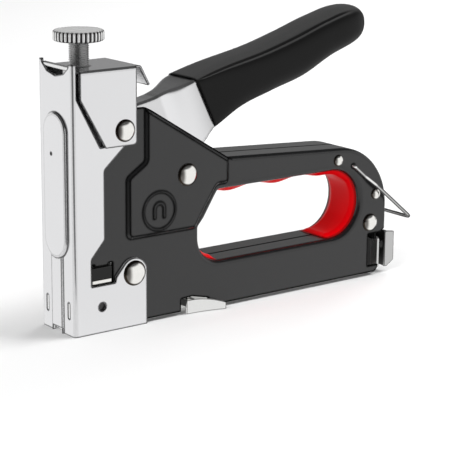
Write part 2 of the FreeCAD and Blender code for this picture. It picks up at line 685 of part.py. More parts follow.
def lifting_arm():
    """The hardened arm inside the lever, whose round tip lifts the hammer."""
    body = new_body("lifting_arm")
    hub = Circle(d.pivot_x, d.pivot_z, 7.2)
    arm = [(d.arm_tip_x, 48.8), (24, 50.0), (50, 52.8), (58, 54), (59.5, 62), (57.0, 94.0), (47.0, 90.3),
           (47.5, 66), (24.0, 56.0), (d.arm_tip_x, 52.9)]
    pad(body, "y", [arm], -2.5, 2.5)
    pad(body, "y", [Circle(d.arm_tip_x, d.arm_tip_z, d.arm_tip_radius)], -2.5, 2.5)
    pad(body, "y", [hub], -2.5, 2.5)
    pocket(body, "y", [Circle(d.pivot_x, d.pivot_z, d.pivot_radius + d.slip)], -4, 4)
    return keep(body, "lifting_arm")


def rounded_section(centre, tilt, half_height, half_width, fullness=2.6, corners=24):
    """A closed smooth curve between an ellipse and a rectangle, square to the handle's own line."""
    x, z = centre
    lean = math.radians(tilt)
    points = []
    for k in range(corners):
        angle = 2 * math.pi * k / corners
        across, up = math.cos(angle), math.sin(angle)
        y = half_width * math.copysign(abs(across) ** (2 / fullness), across)
        rise = half_height * math.copysign(abs(up) ** (2 / fullness), up)
        points.append(Vector(x - rise * math.sin(lean), y, z + rise * math.cos(lean)))
    curve = Part.BSplineCurve()
    curve.interpolate(points, PeriodicFlag=True)
    return Part.Wire(curve.toShape())


def handle_grip():
    """The moulded sleeve, as a skin through sections along the handle."""
    w = float(d.grip_half)
    sections = [((65.8, 87.2), 26.2, 12.3, w - 0.4), ((79.8, 92.5), 20.4, 10.8, w), ((99.8, 97.8), 15.7, 10.2, w),
                ((116.5, 102.6), 16.7, 10.4, w), ((132.8, 109.3), 17.5, 9.1, w - 0.3),
                ((145.5, 112.7), 13.0, 8.9, w - 1.0), ((153.5, 113.7), 9.0, 7.4, w - 2.8),
                ((158.5, 114.1), 7.0, 4.8, w - 5.4), ((160.6, 114.2), 7.0, 1.6, 2.0)]
    sleeve = Part.makeLoft([rounded_section(*section) for section in sections], True, False)
    grip = doc.addObject("Part::Feature", "handle_grip")
    grip.Shape = sleeve
    return keep(grip, "handle_grip")


# ---------------------------------------------------------------- hand hole liner and lock wire

def grip_insert():
    """The coloured liner of the hand hole: finger waves above, open below between its two ends."""
    body = new_body("grip_insert")
    gap, wall = 0.1, 2.2
    pad(body, "y", [rounded(HAND_HOLE, HAND_HOLE_BENDS, -gap)], -d.liner_half, d.liner_half)
    crest, trough = d.hole_high - 2.5, d.hole_high - 1.2
    left, right, low = d.hole_front + wall, d.hole_rear - wall, d.hole_low + 1.3
    inner = [(left, low), (right, low), (right, crest), (73.0, crest), (66.8, 39.2), (left, 35.4)]
    bend = d.hole_bend - wall
    pocket(body, "y", [rounded(inner, [9.0, bend, bend, 3.0, 6.0, 0])], -12, 12)
    for ridge in (80.7, 105.7):
        pocket(body, "y", [[(ridge, crest - 0.02), (ridge + 25, crest - 0.02), Via(ridge + 12.5, trough)]], -12, 12)
    pocket(body, "y", [[(72.0, 18), (127.0, 18), (137.0, low + 0.05), (66.0, low + 0.05)]], -12, 12)
    return keep(body, "grip_insert")


def bent_rod(corners, bends, radius):
    """A round rod through corners, with a tangent arc of its own radius at each inner corner."""
    edges = []
    start = corners[0]
    for k in range(1, len(corners) - 1):
        corner, bend = corners[k], bends[k - 1]
        back = (corners[k - 1] - corner).normalize()
        ahead = (corners[k + 1] - corner).normalize()
        half_angle = back.getAngle(ahead) / 2
        reach = bend / math.tan(half_angle)
        inward = (back + ahead).normalize()
        middle = corner + inward * (bend / math.sin(half_angle) - bend)
        edges.append(Part.LineSegment(start, corner + back * reach).toShape())
        edges.append(Part.Arc(corner + back * reach, middle, corner + ahead * reach).toShape())
        start = corner + ahead * reach
    edges.append(Part.LineSegment(start, corners[-1]).toShape())
    path = Part.Wire(edges)
    along = (corners[1] - corners[0]).normalize()
    section = Part.Wire(Part.makeCircle(radius, corners[0], along))
    return path.makePipeShell([section], True, True)


def lock_wire():
    """The bail that swings up over the closed handle's end."""
    radius = float(d.lock_radius)
    close = float(d.housing_half) + radius + 0.15
    wide = close + 1.5
    x, z = float(d.lock_x), float(d.lock_z)
    tip_x, tip_z = float(d.lock_tip_x), float(d.lock_tip_z)
    half = [Vector(x, -9.2, z), Vector(x, -close, z), Vector(x + 6.5, -close, z - 5.4),
            Vector(x + 11.5, -wide, z - 9.5), Vector(tip_x, -wide, tip_z)]
    corners = half + [Vector(p.x, -p.y, p.z) for p in reversed(half)]
    wire = doc.addObject("Part::Feature", "lock_wire")
    wire.Shape = bent_rod(corners, [0.85, 6, 6, 2.2, 2.2, 6, 6, 0.85], radius)
    return keep(wire, "lock_wire")


# ---------------------------------------------------------------- staple channel and loader

def staple_channel():
    body = new_body("staple_channel")
    half, wall = d.channel_half, d.channel_gauge
    low, high = d.channel_low, d.channel_high
    section = [(-half, low), (half, low), (half, high), (half - wall, high), (half - wall, low + wall),
               (-half + wall, low + wall), (-half + wall, high), (-half, high)]
    pad(body, "x", [section], 4.2, 158.0)
    return keep(body, "staple_channel")


CATCH_X, CATCH_Z = 165.3, 13.0


def loader_end():
    """The end plate of the loader, with two ears for its catch."""
    body = new_body("loader_end")
    pad(body, "x", [box_loop(-9.4, 2.0, 9.4, 16.6)], 162.6, 163.8)
    finish_edges(body, "Fillet", 1.5, runs_along("x", [(-9.4, 16.6), (9.4, 16.6), (-9.4, 2.0), (9.4, 2.0)]))
    pad(body, "x", [box_loop(-5.2, 2.6, 5.2, 15.0)], 159.0, 162.7)
    ear = [(163.7, 10.8), (CATCH_X, 10.8), Via(CATCH_X + 1.5, CATCH_Z), (CATCH_X, 15.2), (163.7, 15.2)]
    for side in (-1, 1):
        low, high = sorted((side * 7.2, side * 8.2))
        pad(body, "y", [ear], low, high)
    pocket(body, "y", [Circle(CATCH_X, CATCH_Z, 0.9)], -9.5, 9.5)
    return keep(body, "loader_end")


def loader_rod():
    body = new_body("loader_rod")
    pad(body, "x", [Circle(0, d.rod_z, d.rod_radius)], 7.0, 159.0)
    return keep(body, "loader_rod")


def catch_pin():
    body = new_body("catch_pin")
    pad(body, "y", [Circle(CATCH_X, CATCH_Z, 0.85)], -9.45, 9.45)
    return keep(body, "catch_pin")


def loader_catch():
    """The pull cap: a web with side flanges for the fingers and a hook plate that reaches forward."""
    body = new_body("loader_catch")
    pad(body, "x", [box_loop(-10.5, 2.7, 10.5, 19.0)], 167.0, 168.0)
    flange = [(166.3, 2.7), (168, 2.9), (171.6, 5.2), (171.6, 18.4), (168, 19.0), (166.3, 19.0)]
    tab = [(CATCH_X, 11.4), (167.1, 11.4), (167.1, 14.6), (CATCH_X, 14.6), Via(CATCH_X - 1.2, CATCH_Z)]
    for side in (-1, 1):
        low, high = sorted((side * 9.6, side * 10.5))
        pad(body, "y", [flange], low, high)
        low, high = sorted((side * 8.4, side * 9.3))
        pad(body, "y", [tab], low, high)
    pad(body, "z", [box_loop(150.6, -4.5, 167.2, 4.5)], 17.1, 18.1)
    pad(body, "z", [box_loop(150.6, -4.5, 151.7, 4.5)], 18.0, 20.5)
    pocket(body, "y", [Circle(CATCH_X, CATCH_Z, 0.9)], -9.5, 9.5)
    return keep(body, "loader_catch")


def pusher():
    """The block that presses the staples forward along the rod."""
    body = new_body("pusher")
    half = d.channel_half - d.channel_gauge - 0.3
    pad(body, "x", [box_loop(-half, d.channel_low + d.channel_gauge + 0.3, half, 15.2),
                    Circle(0, d.rod_z, d.rod_radius + 0.08)], 5.4, 19.4)
    finish_edges(body, "Chamfer", 0.6, lies_at("z", 15.2))
    return keep(body, "pusher")


def channel_catch():
    """The sprung leaf under the housing that holds the staple channel."""
    body = new_body("channel_catch")
    leaf = [(55.0, -11.0), (55.0, -11.9), Via(65.0, -12.9), (73.0, -15.0), (72.8, -14.1), Via(65.0, -12.0),
            (56.2, -11.1)]
    pad(body, "z", [leaf], 0.2, 6.0)
    cut = [(54, 7), (54, 6.0), (59, 6.0), Via(66.5, 5.0), (74, 2.6), (74, 7)]
    pocket(body, "y", [cut], -17, -10)
    pad(body, "z", [box_loop(55.0, -11.5, 59.4, -7.3)], 3.2, 6.0)
    pocket(body, "z", [Circle(57.4, -8.8, 0.85)], 2, 8)
    return keep(body, "channel_catch")


def channel_catch_pin():
    body = new_body("channel_catch_pin")
    pad(body, "z", [Circle(57.4, -8.8, 0.8)], 2.8, 9.5)
    return keep(body, "channel_catch_pin")


nose_plate()
guide_plate()
top_bracket()
adjuster_nut()
adjusting_screw()
tension_knob()
spring_cup()
coil("main_spring", "z", (d.screw_x, 0, d.hammer_high + 0.95), 5.2, 0.9,
     d.cup_high - d.hammer_high - 3.7, 4.4)
hammer()
driver_blade()
stop_bridge()
stop_key()
bumper_pad()
housing("housing_left", -1)
housing("housing_right", 1)
pivot_pin()
rivet("bracket_rivet", [BRACKET_RIVET], BRACKET_SHANK, HALF_NOSE + d.slip + d.bracket_gauge, 4.5, 1.9)
rivet("nose_rivet", [NOSE_RIVET], NOSE_SHANK, HALF_NOSE, 5.2, 2.1)
rivet("rear_rivet", [REAR_RIVET], REAR_SHANK, d.housing_half, 4.0, 1.9)
rivet("body_rivets", SMALL_RIVETS, SMALL_SHANK, d.housing_half, 2.5, 1.3)
rivet_spacers()
handle_lever()
lifting_arm()
handle_grip()
coil("handle_spring", "y", (d.pivot_x, 5.7, d.pivot_z), 5.0, 0.6, 3.6, 1.5)
grip_insert()
lock_wire()
staple_channel()
loader_end()
loader_rod()
catch_pin()
loader_catch()
pusher()
coil("pusher_spring", "x", (20.1, 0, d.rod_z), 2.5, 0.45, 138.0, 6.0)
channel_catch()
channel_catch_pin()


# ---------------------------------------------------------------- checks and writing

doc.recompute()
for item in doc.Objects:
    if "Invalid" in item.State or "Error" in item.State:
        raise RuntimeError(f"{item.Name} failed: {item.State}")
os.makedirs("parts", exist_ok=True)
for item in PARTS:
    shape = item.Shape
    if shape.isNull() or not shape.isValid():
        raise RuntimeError(f"{item.Label} has no valid shape")
    shape.exportStep(f"parts/{item.Label}.step")
    print(f"{item.Label}: {len(shape.Solids)} solid, {shape.Volume:.0f} mm3")
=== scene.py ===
# %% [markdown]
# # Hand staple gun
# The imported CAD model comes in first and stays where it is. Everything made here is measured in metres in
# the same frame: +X runs from the nose to the rear of the tool, +Z up along the nose, and the side that
# faces the camera is -Y. Most sheet-metal nodes have the right shape already and only get a real finish.
# The pieces that the eye goes to first (grip, lever, knob, screw, rivets) are worked out again as smooth
# surfaces, because a moulded sleeve or a knurled rim needs more than flat CAD faces. The springs are made
# again too.

# %% Load the fixed frame
import json
import math
import bpy
import numpy as np
from mathutils import Matrix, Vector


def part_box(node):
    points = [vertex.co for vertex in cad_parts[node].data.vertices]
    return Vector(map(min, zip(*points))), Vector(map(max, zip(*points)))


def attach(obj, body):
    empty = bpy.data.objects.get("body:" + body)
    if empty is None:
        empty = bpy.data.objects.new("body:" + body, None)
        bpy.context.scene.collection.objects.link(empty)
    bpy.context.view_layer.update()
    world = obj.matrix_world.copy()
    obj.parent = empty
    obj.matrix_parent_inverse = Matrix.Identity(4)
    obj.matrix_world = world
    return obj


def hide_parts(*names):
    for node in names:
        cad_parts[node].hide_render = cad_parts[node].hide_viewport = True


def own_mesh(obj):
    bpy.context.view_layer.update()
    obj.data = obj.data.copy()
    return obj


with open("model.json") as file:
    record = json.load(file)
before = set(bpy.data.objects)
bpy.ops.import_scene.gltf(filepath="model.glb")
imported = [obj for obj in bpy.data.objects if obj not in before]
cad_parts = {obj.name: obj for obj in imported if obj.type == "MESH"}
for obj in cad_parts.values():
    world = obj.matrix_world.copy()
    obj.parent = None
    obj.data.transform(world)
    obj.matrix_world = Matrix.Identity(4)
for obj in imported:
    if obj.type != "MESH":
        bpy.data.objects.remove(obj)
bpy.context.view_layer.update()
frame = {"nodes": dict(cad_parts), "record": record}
MM = 0.001
NOSE_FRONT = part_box("guide_plate")[0].x - 0.1 * MM
SCREW_AXIS = (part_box("tension_knob")[0].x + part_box("tension_knob")[1].x) / 2

# %% [markdown]
# ## Helpers for surfaces
# A surface here is a table of points: rows run one way over the piece, columns the other. One function turns
# such a table into a mesh, closing it round where the piece is round and filling each end with a fan.
# Writing whole arrays is quick and keeps the shape readable as a formula.

# %% A table of points becomes a mesh
def surface(name, table, round_columns=True, ends=(True, True)):
    """Joins neighbouring points of a table (rows, columns, 3) into four-sided faces. Each end row can be
    closed by a fan of triangles to the row's own middle."""
    rows, columns = table.shape[:2]
    points = table.reshape(-1, 3)
    across = columns if round_columns else columns - 1
    row, column = np.meshgrid(np.arange(rows - 1), np.arange(across), indexing="ij")
    after = (column + 1) % columns
    quads = np.stack([row * columns + column, row * columns + after,
                      (row + 1) * columns + after, (row + 1) * columns + column], -1).reshape(-1, 4)
    faces = quads.tolist()
    for end, wanted in ((0, ends[0]), (rows - 1, ends[1])):
        if wanted:
            middle = len(points)
            points = np.vstack([points, table[end].mean(0)])
            here = end * columns + np.arange(columns)
            there = end * columns + (np.arange(columns) + 1) % columns
            pair = (there, here) if end == 0 else (here, there)
            faces += np.stack([pair[0], pair[1], np.full(columns, middle)], -1).tolist()
    mesh = bpy.data.meshes.new(name)
    mesh.from_pydata(points, [], faces)
    mesh.validate()
    if signed_volume(points, faces) < 0:
        mesh.flip_normals()
    mesh.shade_smooth()
    piece = bpy.data.objects.new(name, mesh)
    bpy.context.scene.collection.objects.link(piece)
    return piece


def signed_volume(points, faces):
    """Six times the volume inside the faces: the sum of each triangle's corners' triple product."""
    corners = [(f[0], f[k], f[k + 1]) for f in faces for k in range(1, len(f) - 1)]
    a, b, c = (points[np.array(corners)[:, k]] for k in range(3))
    return float(np.einsum("ij,ij->", a, np.cross(b, c)))


# %% [markdown]
# ## Handing a piece over
# A made piece moves with one body of the CAD model, may stand in for some of its nodes, and takes its finish.
# A finish can also read a share stored at each vertex, and so change along the piece.

# %% Body, finish and shares
def smooth_by_angle(piece, degrees):
    """Keeps edges sharper than the angle crisp, and shades the rest smooth."""
    piece.data.set_sharp_from_angle(angle=math.radians(degrees))


def finished(piece, body, slot, material, *nodes):
    """A made piece rides on its body, stands for CAD nodes and takes a material."""
    piece.data.materials.clear()
    piece.data.materials.append(material)
    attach(piece, body)
    if nodes:
        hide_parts(*nodes)
    print(piece.name, len(piece.data.polygons), "faces")


def at_vertices(piece, what="co"):
    """The places of a piece's vertices as one array, or their normals."""
    values = np.empty(len(piece.data.vertices) * 3, np.float32)
    piece.data.vertices.foreach_get(what, values)
    return values.reshape(-1, 3)


def store_painted_light_and_shade(piece, share):
    """Stores a share of painted light and shade at each vertex, which the finish turns into its second
    colour.
    """
    values = np.clip(share, 0, 1).astype(np.float32)
    piece.data.attributes.new("painted_light_and_shade", "FLOAT", "POINT").data.foreach_set("value", values)


# %% [markdown]
# ## Millimetres and soft steps
# The tables below are written in millimetres from the nose's front face, because that is how a maker would
# measure the tool. Steps between two values are eased, which leaves no visible seam in a smooth surface.

# %% Places and steps
def at(x, y, z):
    """Metres in the row frame from millimetres, with x counted from the nose's front face."""
    return np.stack(np.broadcast_arrays(NOSE_FRONT + np.asarray(x) * MM, np.asarray(y) * MM,
                                        np.asarray(z) * MM), -1)


def eased(t):
    """A step from 0 to 1 with level ends: three t squared less two t cubed."""
    t = np.clip(t, 0, 1)
    return t * t * (3 - 2 * t)


# %% [markdown]
# ## Effects shared by several finishes
# Real edges are never sharp: a small radius catches the light. The Bevel node rounds the shading of every
# edge without touching the mesh. Its difference from the true normal also tells where an edge is, which
# gives a mask for painting edges a second colour. On most finishes that colour is a dark line of painted
# shade and painted reflection. Noise gives the rest: fine grain, brushed lines and slow smudges.

# %% Node group tools
def new_group(name, inputs, outputs):
    """An empty shader group with float or vector sockets, given as (name, kind, value)."""
    group = bpy.data.node_groups.new(name, "ShaderNodeTree")
    for label, kind, value in inputs:
        socket = group.interface.new_socket(label, in_out="INPUT", socket_type=kind)
        socket.default_value = value
    for label, kind in outputs:
        group.interface.new_socket(label, in_out="OUTPUT", socket_type=kind)
    nodes = group.nodes
    return group, nodes.new("NodeGroupInput"), nodes.new("NodeGroupOutput")


def add(tree, kind, **settings):
    """A node with its properties set."""
    node = tree.nodes.new(kind)
    for key, value in settings.items():
        setattr(node, key, value)
    return node


def wire(tree, *pairs):
    """Links outputs to inputs, two by two; a plain number sets the input."""
    for source, target in zip(pairs[::2], pairs[1::2]):
        if isinstance(source, (int, float, tuple)):
            target.default_value = source
        else:
            tree.links.new(source, target)


def maths(tree, operation, *values, clamp=False):
    """One step of arithmetic on numbers or outputs; clamp keeps the result between 0 and 1."""
    node = add(tree, "ShaderNodeMath", operation=operation, use_clamp=clamp)
    for value, socket in zip(values, node.inputs):
        wire(tree, value, socket)
    return node.outputs[0]


def soft_step(tree, value, low, high):
    """0 below low, 1 above high, with an even rise between."""
    step = add(tree, "ShaderNodeMapRange", interpolation_type="SMOOTHSTEP")
    wire(tree, value, step.inputs["Value"], low, step.inputs["From Min"], high, step.inputs["From Max"])
    return step.outputs["Result"]


def one_less(tree, value):
    """1 less a value."""
    return maths(tree, "SUBTRACT", 1.0, value)


def blend(tree, share, first, second):
    """A colour between two: the first where the share is 0, the second where it is 1."""
    mix = add(tree, "ShaderNodeMix", data_type="RGBA")
    wire(tree, share, mix.inputs[0], first, mix.inputs[6], second, mix.inputs[7])
    return mix.outputs[2]


FLOAT, VECTOR = "NodeSocketFloat", "NodeSocketVector"

# %% [markdown]
# ## Edges
# The mask is the gap between the rounded normal and the true one, 1 less their dot product. The gap is tiny
# even on an edge, so it is multiplied up and held at 1.

# %% Rounded edges and where they are
EDGE_SAMPLES, EDGE_GAIN = 10, 60.0
EDGES, inlet, outlet = new_group("edge_rounding", [("Radius", FLOAT, 0.0004)],
                                 [("Normal", VECTOR), ("Mask", FLOAT)])
bevel = add(EDGES, "ShaderNodeBevel", samples=EDGE_SAMPLES)
true_normal = add(EDGES, "ShaderNodeNewGeometry")
dot = add(EDGES, "ShaderNodeVectorMath", operation="DOT_PRODUCT")
wire(EDGES, inlet.outputs["Radius"], bevel.inputs["Radius"], bevel.outputs[0], dot.inputs[0],
     true_normal.outputs["Normal"], dot.inputs[1], bevel.outputs[0], outlet.inputs["Normal"],
     maths(EDGES, "MULTIPLY", one_less(EDGES, dot.outputs["Value"]), EDGE_GAIN, clamp=True),
     outlet.inputs["Mask"])
print("edge group:", EDGE_SAMPLES, "samples, gain", EDGE_GAIN)

# %% [markdown]
# ## Grain
# Three noises serve every finish. A fine one gives height for a bump and can be stretched into brushed
# lines, a slow one gives smudges, and a much stretched one gives scratches where it rises past a level.

# %% Fine grain, slow smudges and scratches
SMUDGE_SCALE, LINE_SCALE, LINE_STRETCH = 38.0, 420.0, (0.05, 1.0, 1.4)
FINE_DETAIL, SMUDGE_DETAIL = 3.0, 4.0
SCRATCH_ABOVE, SCRATCH_GAIN = 0.66, 5.0
GRAIN, inlet, outlet = new_group("grain", [("Scale", FLOAT, 900.0), ("Stretch", VECTOR, (1, 1, 1))],
                                 [("Height", FLOAT), ("Smudge", FLOAT), ("Scratch", FLOAT)])
where = add(GRAIN, "ShaderNodeTexCoord")
stretched = add(GRAIN, "ShaderNodeVectorMath", operation="MULTIPLY")
fine = add(GRAIN, "ShaderNodeTexNoise")
slow = add(GRAIN, "ShaderNodeTexNoise")
long_lines = add(GRAIN, "ShaderNodeTexNoise")
line_space = add(GRAIN, "ShaderNodeVectorMath", operation="MULTIPLY")
scratches = maths(GRAIN, "SUBTRACT", long_lines.outputs["Fac"], SCRATCH_ABOVE, clamp=True)
wire(GRAIN, where.outputs["Object"], stretched.inputs[0], inlet.outputs["Stretch"], stretched.inputs[1],
     stretched.outputs[0], fine.inputs["Vector"], inlet.outputs["Scale"], fine.inputs["Scale"],
     FINE_DETAIL, fine.inputs["Detail"], where.outputs["Object"], slow.inputs["Vector"],
     SMUDGE_SCALE, slow.inputs["Scale"], SMUDGE_DETAIL, slow.inputs["Detail"],
     where.outputs["Object"], line_space.inputs[0], line_space.outputs[0], long_lines.inputs["Vector"],
     LINE_SCALE, long_lines.inputs["Scale"], fine.outputs["Fac"], outlet.inputs["Height"],
     slow.outputs["Fac"], outlet.inputs["Smudge"],
     maths(GRAIN, "MULTIPLY", scratches, SCRATCH_GAIN, clamp=True), outlet.inputs["Scratch"])
line_space.inputs[1].default_value = LINE_STRETCH
print("grain group: smudges", SMUDGE_SCALE, "per metre, scratches", LINE_SCALE)

# %% [markdown]
# ## One builder for the finishes
# Every finish is a Principled shader with its own numbers. The groups bend its normal, vary its roughness
# and paint most of its edges dark, a line of painted shade and painted reflection that makes plates stand out
# from each other. Paint gets its gloss from a clear coat, which the edge mask thins out so that the painted
# dark line shows on paint too. Some pieces also carry a share at each vertex that brings in a second colour,
# all of it painted light and shade: a painted shadow round a rivet's foot and painted shade on its flank,
# painted shade in the grooves of a knurl, painted shade along the lever, and painted light on the grip's top.

# %% A finish from its numbers
COAT_IOR, COAT_ROUGHNESS = 1.58, 0.22
OUTLINE_FROM, OUTLINE_FULL, PAINTED_OUTLINE_SHADE = 0.12, 0.40, (0.02, 0.02, 0.02, 1)


def finish(name, colour, metallic, roughness, scale, bump, edge=0.0004, edge_colour=None, edge_share=0.5,
           smudge=0.08, stretch=(1, 1, 1), coat=0.0, specular=0.5, shade=0.12, scratch=0.0, painted_light_and_shade=None,
           turned_away=0.0):
    """Colour, roughness and normal from the shared groups; constants sit on the shader itself. Shade is how
    far the colour wanders either way with the smudges. Turned_away paints shade on thin round wire: its
    colour goes dark where the surface turns away from view, a painted dark outline."""
    material = bpy.data.materials.new(name)
    material.use_nodes = True
    tree = material.node_tree
    shader = tree.nodes["Principled BSDF"]
    shader.inputs["Metallic"].default_value = metallic
    shader.inputs["Specular IOR Level"].default_value = specular
    shader.inputs["Coat IOR"].default_value = COAT_IOR
    shader.inputs["Coat Roughness"].default_value = COAT_ROUGHNESS
    edges = add(tree, "ShaderNodeGroup", node_tree=EDGES)
    grain = add(tree, "ShaderNodeGroup", node_tree=GRAIN)
    wire(tree, edge, edges.inputs["Radius"], scale, grain.inputs["Scale"])
    grain.inputs["Stretch"].default_value = stretch
    height = add(tree, "ShaderNodeBump")
    height.inputs["Distance"].default_value = bump
    uneven = maths(tree, "MULTIPLY", maths(tree, "SUBTRACT", grain.outputs["Smudge"], 0.5), smudge * 2)
    rough = maths(tree, "ADD", roughness, uneven)
    rough = maths(tree, "ADD", rough, maths(tree, "MULTIPLY", grain.outputs["Scratch"], scratch), clamp=True)
    # Painted shade: the edge mask blends the colour towards the edge colour. On most finishes this is a dark
    # line that stands for shade and dark reflection at edges and creases. On tool steel and the black bridge
    # the edge colour is lighter.
    mask = maths(tree, "MULTIPLY", edges.outputs["Mask"], edge_share)
    wire(tree, rough, shader.inputs["Roughness"], grain.outputs["Height"], height.inputs["Height"],
         edges.outputs["Normal"], height.inputs["Normal"], height.outputs[0], shader.inputs["Normal"])
    darker = (*[c * (1 - shade) for c in colour], 1)
    lighter = (*[min(1, c * (1 + shade)) for c in colour], 1)
    tint = blend(tree, grain.outputs["Smudge"], darker, lighter)
    tint = blend(tree, mask, tint, (*(edge_colour or colour), 1))
    # Painted shade: the coat thins where the edge mask is, so the dark edge line shows through the gloss.
    if coat:
        wire(tree, maths(tree, "MULTIPLY", one_less(tree, mask), coat), shader.inputs["Coat Weight"],
             height.outputs[0], shader.inputs["Coat Normal"])
    # Painted light and shade stored at the vertices: shadow and shade on rivets, shade in knurl grooves and
    # along the lever, light on the grip's top.
    if painted_light_and_shade:
        share = add(tree, "ShaderNodeAttribute", attribute_name="painted_light_and_shade")
        tint = blend(tree, share.outputs["Fac"], tint, (*painted_light_and_shade, 1))
    # Painted shade: a dark outline where the surface turns away from view.
    if turned_away:
        facing = add(tree, "ShaderNodeLayerWeight").outputs["Facing"]
        outline = maths(tree, "MULTIPLY", soft_step(tree, facing, OUTLINE_FROM, OUTLINE_FULL), turned_away)
        tint = blend(tree, outline, tint, PAINTED_OUTLINE_SHADE)
    wire(tree, tint, shader.inputs["Base Color"])
    return material


# %% [markdown]
# ## The finishes of this tool
# Bright plate on the nose and lever, black powder coat on the housing, dull zinc on the screw, satin nickel
# on rivets and clips, matte black rubber on the grip, satin red plastic in the hand hole.

# %% All finishes
# In order: colour, metallic, roughness, grain per metre, grain height, edge radius, edge colour and share,
# smudge, and how the grain is stretched.
# The dark edge colour below is painted: a line of shade and dark reflection along edges and creases, used by
# most finishes.
PAINTED_EDGE_SHADE = (0.03, 0.03, 0.03)
FINISHES = {
    "nose_chrome": finish("nose_chrome", (0.75, 0.75, 0.76), 1.0, 0.14, 700, 0.00001, 0.0010, PAINTED_EDGE_SHADE, 0.9,
                          0.05, (1, 1, 0.08), shade=0.02, scratch=0.06),
    "bracket_steel": finish("bracket_steel", (0.74, 0.74, 0.75), 1.0, 0.17, 650, 0.00001, 0.0010,
                            PAINTED_EDGE_SHADE, 0.9, 0.06, (0.1, 1, 1), shade=0.03, scratch=0.08),
    # The lever's second colour is painted shade.
    "lever_chrome": finish("lever_chrome", (0.80, 0.80, 0.81), 1.0, 0.20, 500, 0.000006, 0.0009,
                           PAINTED_EDGE_SHADE, 0.8, 0.05, (0.2, 1, 1), shade=0.02, scratch=0.05,
                           painted_light_and_shade=(0.30, 0.30, 0.30)),
    "guide_steel": finish("guide_steel", (0.82, 0.82, 0.82), 1.0, 0.26, 900, 0.00002, 0.0003, PAINTED_EDGE_SHADE, 0.6,
                          0.10, (1, 1, 0.05), shade=0.10, scratch=0.2),
    "screw_steel": finish("screw_steel", (0.50, 0.50, 0.50), 1.0, 0.30, 1500, 0.00001, 0.0002, PAINTED_EDGE_SHADE, 0.3,
                          0.10, shade=0.15, scratch=0.1),
    # The knob's second colour is painted shade, black in the knurl's grooves.
    "knob_nickel": finish("knob_nickel", (0.84, 0.84, 0.835), 0.55, 0.26, 2600, 0.00002, 0.0003,
                          PAINTED_EDGE_SHADE, 0.3, 0.10, shade=0.14, scratch=0.2, painted_light_and_shade=(0.01, 0.01, 0.01)),
    "spring_steel": finish("spring_steel", (0.40, 0.40, 0.41), 1.0, 0.30, 900, 0.000008, 0.0002),
    "tool_steel": finish("tool_steel", (0.30, 0.30, 0.31), 1.0, 0.38, 800, 0.00002, 0.0003,
                         (0.5, 0.5, 0.5), 0.5, 0.12, shade=0.2),
    "bridge_black": finish("bridge_black", (0.006, 0.006, 0.006), 0.0, 0.42, 900, 0.00002, 0.0004,
                           (0.05, 0.05, 0.05), 0.5, 0.1, specular=0.3),
    "bumper_rubber": finish("bumper_rubber", (0.02, 0.02, 0.02), 0.0, 0.8, 1300, 0.00004),
    "housing_paint": finish("housing_paint", (0.008, 0.008, 0.0085), 0.0, 0.22, 1500, 0.000010, 0.0014,
                            (0.001, 0.001, 0.001), 0.95, 0.04, specular=0.0, coat=0.96, shade=0.12,
                            scratch=0.04),
    # The rivets' second colour is painted shadow round the foot and painted shade on the flank.
    "rivet_nickel": finish("rivet_nickel", (0.84, 0.83, 0.80), 1.0, 0.12, 900, 0.000006, 0.0003,
                           (0.035, 0.030, 0.025), 0.5, 0.07, shade=0.05, scratch=0.08,
                           painted_light_and_shade=(0.035, 0.027, 0.020)),
    # The grip's second colour is painted light, paler on its upward faces.
    "grip_rubber": finish("grip_rubber", (0.006, 0.006, 0.006), 0.0, 0.42, 1700, 0.00004, 0.0004,
                          (0.001, 0.001, 0.001), 0.4, 0.08, specular=0.14, shade=0.15,
                          painted_light_and_shade=(0.045, 0.045, 0.045)),
    "insert_red": finish("insert_red", (0.72, 0.001, 0.004), 0.0, 0.32, 1200, 0.00001, 0.0008,
                         (0.24, 0.001, 0.001), 0.6, 0.06, specular=0.07, shade=0.10),
    "wire_nickel": finish("wire_nickel", (0.84, 0.84, 0.83), 1.0, 0.16, 1200, 0.000008, 0.0002, shade=0.06,
                          turned_away=0.95),
    "channel_steel": finish("channel_steel", (0.62, 0.62, 0.61), 1.0, 0.27, 900, 0.00001, 0.0003,
                            PAINTED_EDGE_SHADE, 0.6, 0.1, (0.06, 1, 1), shade=0.08, scratch=0.15),
    "clip_nickel": finish("clip_nickel", (0.52, 0.52, 0.515), 1.0, 0.30, 900, 0.00002, 0.0006, PAINTED_EDGE_SHADE, 0.8,
                          0.08, (1, 1, 0.1), shade=0.05, scratch=0.2),
    "leaf_steel": finish("leaf_steel", (0.76, 0.76, 0.75), 1.0, 0.20, 900, 0.00001, 0.0005, PAINTED_EDGE_SHADE, 0.7,
                         0.08, shade=0.05, scratch=0.1),
}
print(len(FINISHES), "finishes")

# %% [markdown]
# ## Finishes on the nodes that stay
# The record names a material slot for each node, and the slot picks the finish. Three small steel pieces at
# the rear and the lug of the leaf below are painted black where they lie in shade and left bright outside, so
# their faces are sorted by where they lie: the black is painted shade in the recess. Bright plate beside
# black paint looks patchy when it mirrors it, so the housing halves are left out of mirror rays.

# %% Finishes on the CAD nodes that stay
SLOT_OF = {row["node"]: row["material_slot"] for row in frame["record"]["subparts"]}
for node_name, node in frame["nodes"].items():
    node.data.materials.clear()
    node.data.materials.append(FINISHES[SLOT_OF[node_name]])
    node.data.shade_smooth()
SHADE_BLACK = finish("painted_shade_black", (0.010, 0.010, 0.010), 0.0, 0.35, 900, 0.00002, 0.0004,
                   (0.03, 0.03, 0.03), 0.5, 0.1, specular=0.4)


